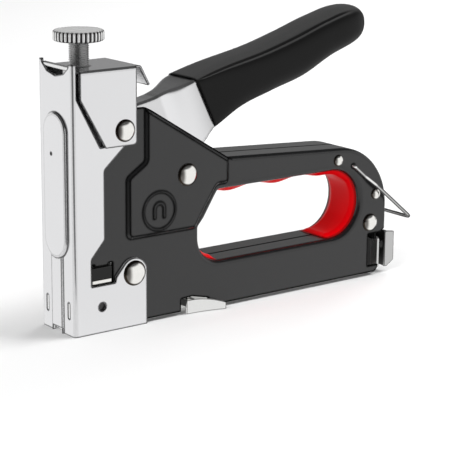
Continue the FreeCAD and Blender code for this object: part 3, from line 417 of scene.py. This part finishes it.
def paint_shade_black(node_name, where_black):
    """Gives a CAD node's faces a black finish of painted shade where their middles pass a test on x, y and z.
    """
    mesh = frame["nodes"][node_name].data
    mesh.materials.append(SHADE_BLACK)
    middles = np.empty(len(mesh.polygons) * 3, np.float32)
    mesh.polygons.foreach_get("center", middles)
    mesh.polygons.foreach_set("material_index", where_black(*middles.reshape(-1, 3).T).astype(np.int32))


PLATE_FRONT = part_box("loader_end")[1].x - 4.22 * MM
PLATE_THICK = 1.24 * MM
FLANGE_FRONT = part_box("loader_catch")[1].x - 5.35 * MM
WEB_REAR, WEB_HALF = FLANGE_FRONT + 1.5 * MM, 9.55 * MM
paint_shade_black("loader_end", lambda x, y, z: (x < PLATE_FRONT) | (x > PLATE_FRONT + PLATE_THICK))
paint_shade_black("loader_catch", lambda x, y, z: (x < FLANGE_FRONT) | ((abs(y) < WEB_HALF) & (x < WEB_REAR)))
paint_shade_black("catch_pin", lambda x, y, z: x < FLANGE_FRONT)
LUG_REAR, LUG_LOW, LUG_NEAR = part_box("channel_catch")[0].x + 4.45 * MM, 3.15 * MM, -11.05 * MM
paint_shade_black("channel_catch", lambda x, y, z: (x < LUG_REAR) & (z > LUG_LOW) & (y > LUG_NEAR))
for node_name in ("housing_left", "housing_right"):
    frame["nodes"][node_name].visible_glossy = False
print("finished", len(frame["nodes"]), "CAD nodes")

# %% [markdown]
# ## Camera
# The camera is far off with a long lens, so upright lines stay nearly upright. It is placed by a matrix whose
# columns are its right, its up and the way back from what it looks at.

# %% Camera
CAMERA_PLACE = (-0.44170, -0.57025, 0.21050)
CAMERA_TURN, CAMERA_RISE, CAMERA_ROLL = (math.radians(a) for a in (-37.55, 14.11, 0.5))
LENS_MM, SENSOR_MM = 136.85, 36
back = np.array([math.sin(CAMERA_TURN) * math.cos(CAMERA_RISE),
                 -math.cos(CAMERA_TURN) * math.cos(CAMERA_RISE), math.sin(CAMERA_RISE)])
right = np.cross([0, 0, 1], back)
right /= np.linalg.norm(right)
up = np.cross(back, right)
right, up = (right * math.cos(CAMERA_ROLL) + up * math.sin(CAMERA_ROLL),
             up * math.cos(CAMERA_ROLL) - right * math.sin(CAMERA_ROLL))
lens = bpy.data.cameras.new("camera")
lens.lens = LENS_MM
lens.sensor_width = SENSOR_MM
lens.clip_start = 0.05
lens.clip_end = 100
camera = bpy.data.objects.new("camera", lens)
bpy.context.scene.collection.objects.link(camera)
matrix = np.eye(4)
matrix[:3, :3] = np.stack([right, up, back], 1)
matrix[:3, 3] = CAMERA_PLACE
camera.matrix_world = Matrix(matrix)
bpy.context.scene.camera = camera
bpy.context.scene.view_settings.view_transform = "Standard"
print("camera at", CAMERA_PLACE, "with a lens of", LENS_MM, "mm")

# %% [markdown]
# ## What bright plate sees
# Dull surfaces are lit by a pale floor, an even sky and three broad panels. Bright plate shows only what is
# round it, so mirror rays, from plate and from the gloss on paint, get a surround of their own: a white strip
# that runs under and past the tool, and darker ground to either side. Faces square to the strip come out
# white, folds and the flanks of rivets go dark, and top faces take a mid grey from the sky behind.

# %% Directions for the surround
def along(tree, place, direction):
    """How far a place lies along a direction."""
    dot = add(tree, "ShaderNodeVectorMath", operation="DOT_PRODUCT")
    dot.inputs[1].default_value = direction
    wire(tree, place, dot.inputs[0])
    return dot.outputs["Value"]


STRIP, ACROSS = (0.609, -0.793, 0), (0.793, 0.609, 0)
SIDE_START, SIDE_END = 0.5, 2.5


def off_strip(tree, place, half_wide, nearest=0.02):
    """0 near the line along STRIP and 1 well to its side: the sideways distance less a half width, over the
    distance along the line. The nearest distance keeps the quotient finite at the tool."""
    sideways = maths(tree, "SUBTRACT", maths(tree, "ABSOLUTE", along(tree, place, ACROSS)), half_wide)
    forward = maths(tree, "ADD", maths(tree, "ABSOLUTE", along(tree, place, STRIP)), nearest)
    return soft_step(tree, maths(tree, "DIVIDE", sideways, forward), SIDE_START, SIDE_END)


def grey(tone):
    """A grey colour from one number."""
    return (tone, tone, tone, 1)


# %% [markdown]
# ## Floor
# The floor has two faces. To every ordinary ray it is a matte light ground that takes the tool's shadow. To a
# mirror ray it is dark of itself and glows with the strip, so it looks the same whatever falls on it.

# %% Floor
FLOOR_HALF, FLOOR_TONE = 12.0, 0.90
FLOOR_ROUGHNESS, FLOOR_SPECULAR = 0.9, 0.1
STRIP_HALF, STRIP_TONE, BESIDE_TONE = 0.085, 1.0, 0.17
floor_mesh = bpy.data.meshes.new("floor")
floor_mesh.from_pydata([(-FLOOR_HALF, -FLOOR_HALF, 0), (FLOOR_HALF, -FLOOR_HALF, 0),
                        (FLOOR_HALF, FLOOR_HALF, 0), (-FLOOR_HALF, FLOOR_HALF, 0)], [], [(0, 1, 2, 3)])
floor = bpy.data.objects.new("floor", floor_mesh)
bpy.context.scene.collection.objects.link(floor)
floor_material = bpy.data.materials.new("floor_matte")
floor_material.use_nodes = True
tree = floor_material.node_tree
floor_shader = tree.nodes["Principled BSDF"]
floor_shader.inputs["Roughness"].default_value = FLOOR_ROUGHNESS
floor_shader.inputs["Specular IOR Level"].default_value = FLOOR_SPECULAR
to_mirror = add(tree, "ShaderNodeLightPath").outputs["Is Glossy Ray"]
floor_place = add(tree, "ShaderNodeTexCoord").outputs["Object"]
strip_glow = blend(tree, off_strip(tree, floor_place, STRIP_HALF), grey(STRIP_TONE), grey(BESIDE_TONE))
wire(tree, blend(tree, to_mirror, grey(FLOOR_TONE), grey(0)), floor_shader.inputs["Base Color"],
     blend(tree, to_mirror, grey(0), strip_glow), floor_shader.inputs["Emission Color"])
floor_shader.inputs["Emission Strength"].default_value = 1.0
floor_mesh.materials.append(floor_material)
print("floor", 2 * FLOOR_HALF, "m wide")

# %% [markdown]
# ## Sky
# The sky is plain for light and for the camera. To a mirror ray it is dark, except that the strip goes on up
# the sky until it fades out, and one side has a mid grey that fades out too.

# %% Sky
SKY_LIGHT, SKY_FOR_CAMERA = 0.45, 0.55
SKY_DARK, SKY_STRIP, SKY_BEHIND = 0.10, 0.90, 0.32
STRIP_TOP, BEHIND_SIDE, BEHIND_TOP = (0.35, 0.50), (0.35, 0.85), (0.32, 0.52)
world = bpy.data.worlds.new("sky")
world.use_nodes = True
world.cycles.sampling_method = "NONE"
tree = world.node_tree
sky = tree.nodes["Background"]
rays = add(tree, "ShaderNodeLightPath")
direction = add(tree, "ShaderNodeTexCoord").outputs["Generated"]
height = along(tree, direction, (0, 0, 1))
strip = maths(tree, "MULTIPLY", one_less(tree, off_strip(tree, direction, 0.0)),
              one_less(tree, soft_step(tree, height, *STRIP_TOP)))
behind = maths(tree, "MULTIPLY", soft_step(tree, along(tree, direction, ACROSS), *BEHIND_SIDE),
               one_less(tree, soft_step(tree, height, *BEHIND_TOP)))
mirror_sky = maths(tree, "MAXIMUM", maths(tree, "ADD", SKY_DARK, maths(tree, "MULTIPLY", strip, SKY_STRIP)),
                   maths(tree, "MULTIPLY", behind, SKY_BEHIND))
for_camera = maths(tree, "MULTIPLY", rays.outputs["Is Camera Ray"], SKY_FOR_CAMERA)
plain = maths(tree, "ADD", SKY_LIGHT, for_camera)
level = add(tree, "ShaderNodeMix", data_type="FLOAT")
wire(tree, rays.outputs["Is Glossy Ray"], level.inputs[0], plain, level.inputs[2],
     mirror_sky, level.inputs[3], level.outputs[0], sky.inputs["Strength"])
sky.inputs["Color"].default_value = grey(1)
bpy.context.scene.world = world
print("sky light", SKY_LIGHT)

# %% [markdown]
# ## Soft panels
# Three large lamps stand round the tool and light the floor and every dull surface. They are left out of
# mirror rays, so bright plate doesn't show them. Large and far off, they cast only soft shadows.

# %% Soft panels
TOOL_MIDDLE = (0, 0, 0.06)


def soft_panel(name, place, size, power):
    """A square area lamp that looks at the middle of the tool and doesn't show in mirror rays."""
    lamp = bpy.data.lights.new(name, "AREA")
    lamp.shape = "SQUARE"
    lamp.size = size
    lamp.energy = power
    panel = bpy.data.objects.new(name, lamp)
    panel.visible_glossy = False
    bpy.context.scene.collection.objects.link(panel)
    away = np.array(place) - np.array(TOOL_MIDDLE)
    away /= np.linalg.norm(away)
    side = np.cross([0, 0, 1], away)
    side /= np.linalg.norm(side)
    turn = np.eye(4)
    turn[:3, :3] = np.stack([side, np.cross(away, side), away], 1)
    turn[:3, 3] = place
    panel.matrix_world = Matrix(turn)
    print(name, power, "W")


soft_panel("top_panel", (0.75, -0.35, 1.3), 0.7, 14)
soft_panel("left_panel", (-1.3, -0.5, 1.2), 0.8, 12)
soft_panel("rear_panel", (1.5, 0.9, 1.1), 0.8, 12)

# %% [markdown]
# ## Moulded grip
# The grip is a soft sleeve pushed over the end of the lever. Seen from the side it swells in the middle and
# rounds off at the end; cut across, it is a rectangle with very round corners. So the surface is a table of
# such sections along the handle's own line. A shallow crease runs along each side above the middle.

# %% Grip sleeve
def smooth_through(knots, values, t):
    """A cubic through the knots whose slope at each knot is that of the line between its neighbours."""
    knots, values = np.asarray(knots, float), np.asarray(values, float)
    slope = np.gradient(values, knots)
    k = np.clip(np.searchsorted(knots, t) - 1, 0, len(knots) - 2)
    width = knots[k + 1] - knots[k]
    u = (t - knots[k]) / width
    return (values[k] * (1 + 2 * u) * (1 - u) ** 2 + slope[k] * width * u * (1 - u) ** 2
            + values[k + 1] * u * u * (3 - 2 * u) + slope[k + 1] * width * u * u * (u - 1))


def grip_table(rows=150, columns=144, length=88, end_length=8.5, end_rows=34, close_from=84, close_over=12.8,
               smallest=0.12, crease_degrees=44.0, crease_wide=0.075, crease_deep=0.045):
    """Superellipse sections: across is half width times cosine to the power 2/n, up is half height times
    sine to the same power, square to the handle's line, less a narrow groove along each side. The power n
    is high at the front, where the sleeve is nearly square, and lower behind. The sections close by the
    root of one less a square at the end."""
    knots = [0, 15, 35.8, 53.2, 70.8, 83.9, 92, 96.5]
    centre_x = [65.8, 79.8, 99.8, 116.5, 132.8, 145.5, 153.2, 157.4]
    centre_z = [87.2, 92.5, 97.8, 102.6, 109.0, 112.7, 114.2, 114.6]
    tilt = [26.2, 20.4, 15.7, 16.7, 17.0, 13.0, 8.0, 5.0]
    half_up = [12.0, 10.8, 10.1, 10.3, 9.2, 8.7, 7.4, 5.2]
    half_across = [10.7, 11.0, 11.0, 11.0, 10.8, 10.2, 8.6, 5.8]
    squareness = [7.5, 4.2, 3.1, 2.9, 2.8, 2.6, 2.4, 2.2]
    end = length + end_length * np.sin(np.linspace(0.05, math.pi / 2, end_rows))
    t = np.concatenate([np.linspace(0, length, rows - end_rows), end])
    x, z, lean, up_size, across_size, power = (
        smooth_through(knots, values, t)[:, None]
        for values in (centre_x, centre_z, tilt, half_up, half_across, squareness))
    t = t[:, None]
    closing = np.sqrt(np.clip(1 - ((t - close_from) / close_over) ** 2, 0, 1)) ** 0.8
    closing = np.maximum(np.where(t > close_from, closing, 1.0), smallest)
    up_size, across_size = up_size * closing, across_size * closing
    angle = np.linspace(0, 2 * math.pi, columns, endpoint=False)[None, :]
    across = np.sign(np.cos(angle)) * np.abs(np.cos(angle)) ** (2 / power)
    rise = np.sign(np.sin(angle)) * np.abs(np.sin(angle)) ** (2 / power)
    off_crease = np.arctan2(np.sin(angle), np.abs(np.cos(angle))) - np.radians(crease_degrees)
    fold = np.exp(-(off_crease / crease_wide) ** 2)
    groove = 1 - crease_deep * fold * eased((t - 1) / 6) * eased((length - t) / 12)
    lean = np.radians(lean)
    across, rise = across * across_size * groove, rise * up_size * groove
    return at(x - rise * np.sin(lean), across, z + rise * np.cos(lean))


body_of_grip = grip_table()
lip_scale = [0.80, 0.90, 0.965, 0.99]
middle = body_of_grip[0].mean(0)
lip = np.stack([middle + (body_of_grip[0] - middle) * k for k in lip_scale])
lip[:2] += np.array([0.9 * MM, 0, 0.4 * MM])
lip[2] += np.array([0.15 * MM, 0, 0.07 * MM])
grip = surface("grip_sleeve", np.concatenate([lip, body_of_grip]))
# Painted light: the faces that turn upward get a paler colour, as if lit from above.
upward = at_vertices(grip, "normal")[:, 2]
store_painted_light_and_shade(grip, eased((upward - 0.55) / 0.35))
finished(grip, "handle", "grip_rubber", FINISHES["grip_rubber"], "handle_grip")

# %% [markdown]
# ## Bright lever
# The lever is one folded sheet: a web on top and a wall down each side. It is narrow where it drops
# between the housing halves, and flares to the width of the grip along a slanted line. The table runs
# forward to rear one way and from one lower edge over the web to the other lower edge the other way.
# Painted shade makes the plating darker before the crease and towards the grip, as a share at each vertex.

# %% Lever sheet
LEVER_TOP = [(33.5, 88.9), (36, 89.4), (38.5, 89.9), (41, 90.4), (44.5, 91.2), (45.6, 91.6), (47.5, 92.3),
             (56, 95.5), (60.5, 97.2), (64.5, 98.2)]
LEVER_LOW = [(33.9, 86.5), (35.6, 78), (44.5, 62), (49.5, 53.5), (59.5, 53.5), (61, 64), (62.9, 67),
             (68, 74.5), (70.8, 77.4), (74, 80.2)]


def past_crease(x, z, crease_x=47, crease_z=92, slant=math.radians(22)):
    """Distance in millimetres past the slanted line where the lever starts to flare."""
    return (x - crease_x) * math.cos(slant) + (z - crease_z) * math.sin(slant)


def lever_table(rows_each=12, wall=26, web=14, fold=1.2, narrow=4.8, widening=4.55, flare_length=12.5):
    """Rows lie between matching points of the top line and the lower line. The half width eases from narrow
    to wide with the distance past a slanted crease; each row goes up a wall, round a fold, over the web and
    down the other wall."""
    step = np.linspace(0, len(LEVER_TOP) - 1, rows_each * (len(LEVER_TOP) - 1) + 1)[:, None]
    number = np.arange(len(LEVER_TOP))
    top_x, top_z = (np.interp(step, number, [p[k] for p in LEVER_TOP]) for k in (0, 1))
    low_x, low_z = (np.interp(step, number, [p[k] for p in LEVER_LOW]) for k in (0, 1))
    rise = np.linspace(0, 1, wall)[None, :]
    x = low_x + (top_x - low_x) * rise
    z = low_z + (top_z - fold - low_z) * rise
    half_width = narrow + widening * eased(past_crease(x, z) / flare_length)
    half_top = half_width[:, -1:]
    turn = np.linspace(0, math.pi / 2, 7)[None, 1:]
    fold_y = half_top - fold * (1 - np.cos(turn))
    fold_z = top_z - fold + fold * np.sin(turn)
    web_y = (half_top - fold) * (1 - 2 * np.linspace(0, 1, web + 2)[None, 1:-1])
    web_z = top_z + 0 * web_y
    y = np.concatenate([half_width, fold_y, web_y, -fold_y[:, ::-1], -half_width[:, ::-1]], 1)
    z = np.concatenate([z, fold_z, web_z, fold_z[:, ::-1], z[:, ::-1]], 1)
    x = np.concatenate([x, top_x + 0 * fold_y, top_x + 0 * web_y, top_x + 0 * fold_y, x[:, ::-1]], 1)
    return at(x, y, z)


lever = surface("lever_sheet", lever_table(), round_columns=False, ends=(False, False))
x, _, z = at_vertices(lever).T
past = past_crease((x - NOSE_FRONT) / MM, z / MM)
# Painted shade: darker towards the grip and in a band just before the crease.
SHADE_BEHIND, SHADE_BEFORE = 0.5, 0.25
store_painted_light_and_shade(lever, SHADE_BEHIND * eased((past - 6) / 12) + SHADE_BEFORE * (1 - eased((past + 2) / 2)))
wall = lever.modifiers.new("thickness", "SOLIDIFY")
wall.thickness = 1.5 * MM
wall.offset = -1
finished(lever, "handle", "lever_chrome", FINISHES["lever_chrome"], "handle_lever")

# %% [markdown]
# ## Finger liner
# A red plastic strip lines the hand hole. Its outline is the hole's own outline with round corners, open
# along the lower edge. Above, it waves so that each finger has its place. Across the tool it is crowned, and
# its edges tuck under the rolled rim, so only the crown shows.

# %% Round-cornered outline
def rounded_outline(corners, bends, spacing=0.6):
    """Straight runs between corners with an arc at each: points a fixed distance apart, with the inward
    direction at each point. Corners go counter-clockwise."""
    corners = np.asarray(corners, float)
    points, inward = [], []
    for k, bend in enumerate(bends):
        back = corners[k - 1] - corners[k]
        ahead = corners[(k + 1) % len(corners)] - corners[k]
        back, ahead = back / np.linalg.norm(back), ahead / np.linalg.norm(ahead)
        half_angle = math.acos(np.clip(back @ ahead, -1, 1)) / 2
        hollow = (back[0] * ahead[1] - back[1] * ahead[0]) > 0
        middle = corners[k] + (back + ahead) / np.linalg.norm(back + ahead) * bend / math.sin(half_angle)
        sweep = (math.pi / 2 - half_angle) * np.linspace(-1, 1, 13)
        axis = corners[k] - middle
        axis = axis / np.linalg.norm(axis)
        side = np.array([-axis[1], axis[0]]) * (-1 if hollow else 1)
        radial = axis * np.cos(sweep)[:, None] + side * np.sin(sweep)[:, None]
        points.append(middle + bend * radial)
        inward.append(radial if hollow else -radial)
    points, inward = np.concatenate(points), np.concatenate(inward)
    loop = np.vstack([points, points[:1]])
    run = np.concatenate([[0], np.cumsum(np.linalg.norm(np.diff(loop, axis=0), axis=1))])
    place = np.arange(0, run[-1], spacing)
    normals = np.vstack([inward, inward[:1]])
    outline, facing = (np.stack([np.interp(place, run, grid[:, k]) for k in (0, 1)], 1)
                       for grid in (loop, normals))
    return outline, facing / np.linalg.norm(facing, axis=1)[:, None]


HAND_HOLE = [(61.6, 20.4), (149.6, 20.4), (149.6, 50.8), (71.8, 50.8), (64.6, 39.6), (61.6, 36.2)]
HAND_HOLE_BENDS = [11.0, 15.0, 15.0, 3.0, 6.0, 1.5]

# %% [markdown]
# ## Thickness of the liner
# The strip starts and ends below, thin at both ends. Along the top its thickness follows a squared sine, so
# that ridges stand between the fingers.

# %% Liner
FIRST_RIDGE, FINGER_PITCH = 80.7, 25.0
SIDE_THICK, RIDGE_THICK, FINGER_LESS = 1.5, 2.4, 1.8


def liner_table(half=9.1, gap=0.1, columns=30, open_rear=132.0, open_front=72.0, crown_width=3.2):
    """Each row is a section across the tool: a flat back against the housing and a crowned front whose
    height is the liner's thickness there. The thickness waves between finger ridges along the top."""
    outline, inward = rounded_outline(HAND_HOLE, HAND_HOLE_BENDS)
    x, z = outline[:, 0], outline[:, 1]
    first = int(np.argmin(np.abs(x - open_rear) + 10 * (z > 25)))
    last = int(np.argmin(np.abs(x - open_front) + 10 * (z > 25)))
    order = np.arange(first, last + (len(x) if last < first else 0) + 1) % len(x)
    x, z, inward = x[order], z[order], inward[order]
    between = np.sin(math.pi * np.clip((x - FIRST_RIDGE) / FINGER_PITCH, -0.30, 2.0)) ** 2
    wave = RIDGE_THICK - FINGER_LESS * between
    on_top = eased((z - 44) / 5.0)
    thick = SIDE_THICK * (1 - on_top) + wave * on_top
    ends = np.minimum(np.arange(len(x)), np.arange(len(x))[::-1])
    thick = gap + (thick - gap) * eased(ends / 5.0 + 0.25)
    across = np.linspace(-half, half, columns)
    crown = eased((half - np.abs(across)) / crown_width)
    front = gap + (thick[:, None] - gap) * crown[None, :]
    offset = np.concatenate([front, np.full((len(x), 2), gap - 0.05)], 1)[:, :, None]
    y = np.concatenate([across, [half, -half]])
    ring = np.stack([x, z], 1)[:, None, :] + inward[:, None, :] * offset
    return at(ring[..., 0], y[None, :], ring[..., 1])


liner = surface("finger_liner", liner_table())
finished(liner, "frame", "insert_red", FINISHES["insert_red"], "grip_insert")

# %% [markdown]
# ## Knurled knob
# A straight knurl is a ring of ridges pressed into the rim, so the radius rises and falls with the angle. The
# grooves get painted shade: a share by their depth below the rim, which the finish paints black.

# %% Knob
KNOB_RADIUS = 10.2
KNOB_LOW, KNOB_HIGH = (corner.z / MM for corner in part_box("tension_knob"))


def knob_table(ridges=34, per_ridge=10, groove_deep=0.75, groove_from=9.3, groove_over=0.8):
    """A turned profile whose radius dips between ridges by a cosine made flat on top. The dip sets in past a
    given radius, so the flat top of the knob stays whole."""
    profile = np.array([(0.4, 0), (4.6, 0), (4.8, 0.25), (9.2, 0.3), (9.9, 0.6), (10.15, 1.0), (10.2, 1.6),
                        (10.2, 2.4), (10.2, 3.2), (10.15, 3.7), (9.9, 4.2), (9.5, 4.5), (9.1, 4.55),
                        (8.9, 4.42), (8.6, 4.45), (6.5, 4.6), (4.0, 4.67), (2.0, 4.69), (0.4, 4.7)])
    radius, rise = profile[:, :1], profile[:, 1:]
    angle = np.linspace(0, 2 * math.pi, ridges * per_ridge, endpoint=False)[None, :]
    ridge = 1 - np.abs(np.cos(angle * ridges / 2)) ** 3
    cut = groove_deep * np.clip((radius - groove_from) / groove_over, 0, 1)
    radius = radius - cut * (1 - ridge)
    return np.stack(np.broadcast_arrays(SCREW_AXIS + radius * MM * np.cos(angle), radius * MM * np.sin(angle),
                                        (KNOB_LOW + rise) * MM), -1)


knob = surface("knurled_knob", knob_table())
smooth_by_angle(knob, 40)
across, along_y, rise = at_vertices(knob).T
depth = KNOB_RADIUS - np.hypot(across - SCREW_AXIS, along_y) / MM
# Painted shade: the grooves go black by their depth, except near the top face.
store_painted_light_and_shade(knob, eased((depth - 0.15) / 0.35) * eased((1.1 - depth) / 0.1) * (rise / MM < KNOB_HIGH - 0.45))
finished(knob, "screw", "knob_nickel", FINISHES["knob_nickel"], "tension_knob")

# %% [markdown]
# ## Threaded screw
# A thread is a ridge on a slant: it moves on by one pitch for each turn. The pitch drawn here is 0.85 mm,
# finer than the 1.25 mm that the cup moves for each turn, so the thread does not match the motion.

# %% Screw
SCREW_LOW, SCREW_HIGH = (corner.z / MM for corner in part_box("adjusting_screw"))


def screw_table(pitch=0.85, columns=40, per_pitch=10, root=3.55, crest=0.49, steep=1.35, root_flat=0.12):
    """The radius is a zigzag of height less one pitch per turn, cut flat at root and crest, and fades out at
    both ends of the screw."""
    rise = np.arange(SCREW_LOW, SCREW_HIGH - 0.4, pitch / per_pitch)[:, None]
    angle = np.linspace(0, 2 * math.pi, columns, endpoint=False)[None, :]
    phase = (rise / pitch - angle / (2 * math.pi)) % 1
    ridge = np.clip(steep * (1 - 2 * np.abs(phase - 0.5)) - root_flat, 0, 1)
    neck = eased((SCREW_HIGH - 0.4 - rise) / 0.5)
    radius = root + crest * ridge * neck * eased((rise - SCREW_LOW) / 1.2)
    return np.stack(np.broadcast_arrays(SCREW_AXIS + radius * MM * np.cos(angle), radius * MM * np.sin(angle),
                                        rise * MM), -1)


screw_table_points = screw_table()
last = screw_table_points[-1:].copy()
last[..., 2] = SCREW_HIGH * MM
screw = surface("threaded_screw", np.concatenate([screw_table_points, last]))
finished(screw, "screw", "screw_steel", FINISHES["screw_steel"], "adjusting_screw")

# %% [markdown]
# ## Rivets
# A rivet's head is a cap of a ball with a short upright edge, and there is one on each side. The profile is
# turned round an axis that runs across the tool. The shank between the heads is hidden but closes the mesh.

# %% Turned rivets
def rivet_table(centre, face, radius, height, shank, columns=72, edge=0.28):
    """A cap of a ball: its ball's radius is (radius squared + height squared) over twice the height, where
    the height is that of the cap above its upright edge."""
    ball = (radius ** 2 + (height - edge) ** 2) / (2 * (height - edge))
    swing = np.linspace(0.03, math.asin(radius / ball), 22)
    cap_r, cap_y = ball * np.sin(swing), face + height - ball + ball * np.cos(swing)
    half_r = np.concatenate([cap_r, [radius, radius - 0.10, shank]])
    half_y = np.concatenate([cap_y, [face + 0.12, face, face]])
    r = np.concatenate([half_r, half_r[::-1]])[:, None]
    y = np.concatenate([half_y, -half_y[::-1]])[:, None]
    angle = np.linspace(0, 2 * math.pi, columns, endpoint=False)[None, :]
    return at(centre[0] + r * np.cos(angle), y, centre[1] + r * np.sin(angle))


def paint_rivet_shade(piece, centre, radius, ring_from=0.76, ring_wide=0.12, flank_shade=0.85):
    """Paints a dark ring of shadow where the head meets the plate, by the distance from the axis over the
    radius, and a fainter painted shade over the flank that is turned to the nose."""
    x, _, z = at_vertices(piece).T
    middle = at(centre[0], 0, centre[1])
    share = np.hypot(x - middle[0], z - middle[2]) / (radius * MM)
    flank = (middle[0] - x) / (radius * MM)
    ring = eased((share - ring_from) / ring_wide)
    store_painted_light_and_shade(piece, np.maximum(ring, flank_shade * eased((flank - 0.32) / 0.34)))


def middle_of(box):
    """The middle of a box seen from the side, in millimetres from the nose."""
    return ((box[0].x + box[1].x) / 2 - NOSE_FRONT) / MM, (box[0].z + box[1].z) / 2 / MM


for name, node, head, rise, shank in (("pivot_rivet", "pivot_pin", 4.7, 2.0, 3.4),
                                      ("bracket_rivet_turned", "bracket_rivet", 4.5, 1.9, 1.9),
                                      ("nose_rivet_turned", "nose_rivet", 5.2, 2.1, 2.4),
                                      ("rear_rivet_turned", "rear_rivet", 4.0, 1.9, 1.9)):
    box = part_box(node)
    table = rivet_table(middle_of(box), box[1].y / MM - rise, head, rise, shank)
    rivet = surface(name, table)
    smooth_by_angle(rivet, 50)
    paint_rivet_shade(rivet, middle_of(box), head)
    finished(rivet, "frame", "rivet_nickel", FINISHES["rivet_nickel"], node)

# %% [markdown]
# ## Two small rivets
# One node holds both small rivets, at opposite corners of its box, so their places come from those corners.
# Both are drawn in its place, and the node is hidden once, after both.

# %% Small rivets
SMALL_HEAD, SMALL_RISE, SMALL_SHANK = 2.5, 1.3, 1.2
small_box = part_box("body_rivets")
small_face = small_box[1].y / MM - SMALL_RISE
small_places = [((small_box[0].x - NOSE_FRONT) / MM + SMALL_HEAD, small_box[1].z / MM - SMALL_HEAD),
                ((small_box[1].x - NOSE_FRONT) / MM - SMALL_HEAD, small_box[0].z / MM + SMALL_HEAD)]
for number, place in enumerate(small_places, 1):
    table = rivet_table(place, small_face, SMALL_HEAD, SMALL_RISE, SMALL_SHANK, 48)
    rivet = surface(f"body_rivet_{number}", table)
    smooth_by_angle(rivet, 50)
    paint_rivet_shade(rivet, place, SMALL_HEAD)
    finished(rivet, "frame", "rivet_nickel", FINISHES["rivet_nickel"])
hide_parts("body_rivets")

# %% [markdown]
# ## Springs
# A coil spring is a tube whose centre line climbs as it goes round. Springs get shorter when the tool works.
# The drive spring is pressed from both ends, by the hammer and by the cup, so it is made in two lengths that
# meet.

# %% A coil as a table
def coil_table(centre, low, high, radius, wire, turns, per_turn=28, columns=10):
    """A round tube on a helix that climbs along z from low to high: the centre line goes round at the coil
    radius, and each section lies square to it."""
    t = np.linspace(0, 1, int(turns * per_turn) + 1)[:, None]
    turn = 2 * math.pi * turns * t
    climb = low + wire + (high - low - 2 * wire) * t
    slope = math.atan2(high - low - 2 * wire, 2 * math.pi * radius * turns)
    angle = np.linspace(0, 2 * math.pi, columns, endpoint=False)[None, :]
    outward, lift = radius + wire * np.cos(angle), wire * np.sin(angle)
    x = outward * np.cos(turn) + lift * math.sin(slope) * np.sin(turn)
    y = outward * np.sin(turn) - lift * math.sin(slope) * np.cos(turn)
    return np.stack([centre[0] + x, centre[1] + y, climb + lift * math.cos(slope)], -1) * MM


# %% Drive spring
spring_low, spring_high = (corner.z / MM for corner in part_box("main_spring"))
UPPER_LENGTH = 13.0
spring_split = spring_high - UPPER_LENGTH
COIL_RADIUS, COIL_WIRE = 5.2, 0.88
spring_axis = (SCREW_AXIS / MM, 0)
lower = surface("drive_spring_lower", coil_table(spring_axis, spring_low, spring_split,
                                                 COIL_RADIUS, COIL_WIRE, 5))
upper = surface("drive_spring_upper", coil_table(spring_axis, spring_split, spring_high,
                                                 COIL_RADIUS, COIL_WIRE, 3))
finished(lower, "striker", "spring_steel", FINISHES["spring_steel"], "main_spring")
finished(upper, "cup", "spring_steel", FINISHES["spring_steel"], "main_spring")
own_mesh(lower)
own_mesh(upper)

# %% [markdown]
# ## Pusher spring
# The spring on the loader's rod closes toward its rear end as the pusher travels back. A table of a coil
# along z becomes one along x when its coordinates change places.

# %% Pusher spring
rod_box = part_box("pusher_spring")
rod_height = (rod_box[0].z + rod_box[1].z) / 2 / MM
rod_table = coil_table((rod_height, 0), rod_box[0].x / MM, rod_box[1].x / MM, 2.5, 0.44, 24)
rod_spring = surface("pusher_spring_coil", rod_table[..., [2, 1, 0]])
finished(rod_spring, "loader", "spring_steel", FINISHES["spring_steel"], "pusher_spring")
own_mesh(rod_spring)
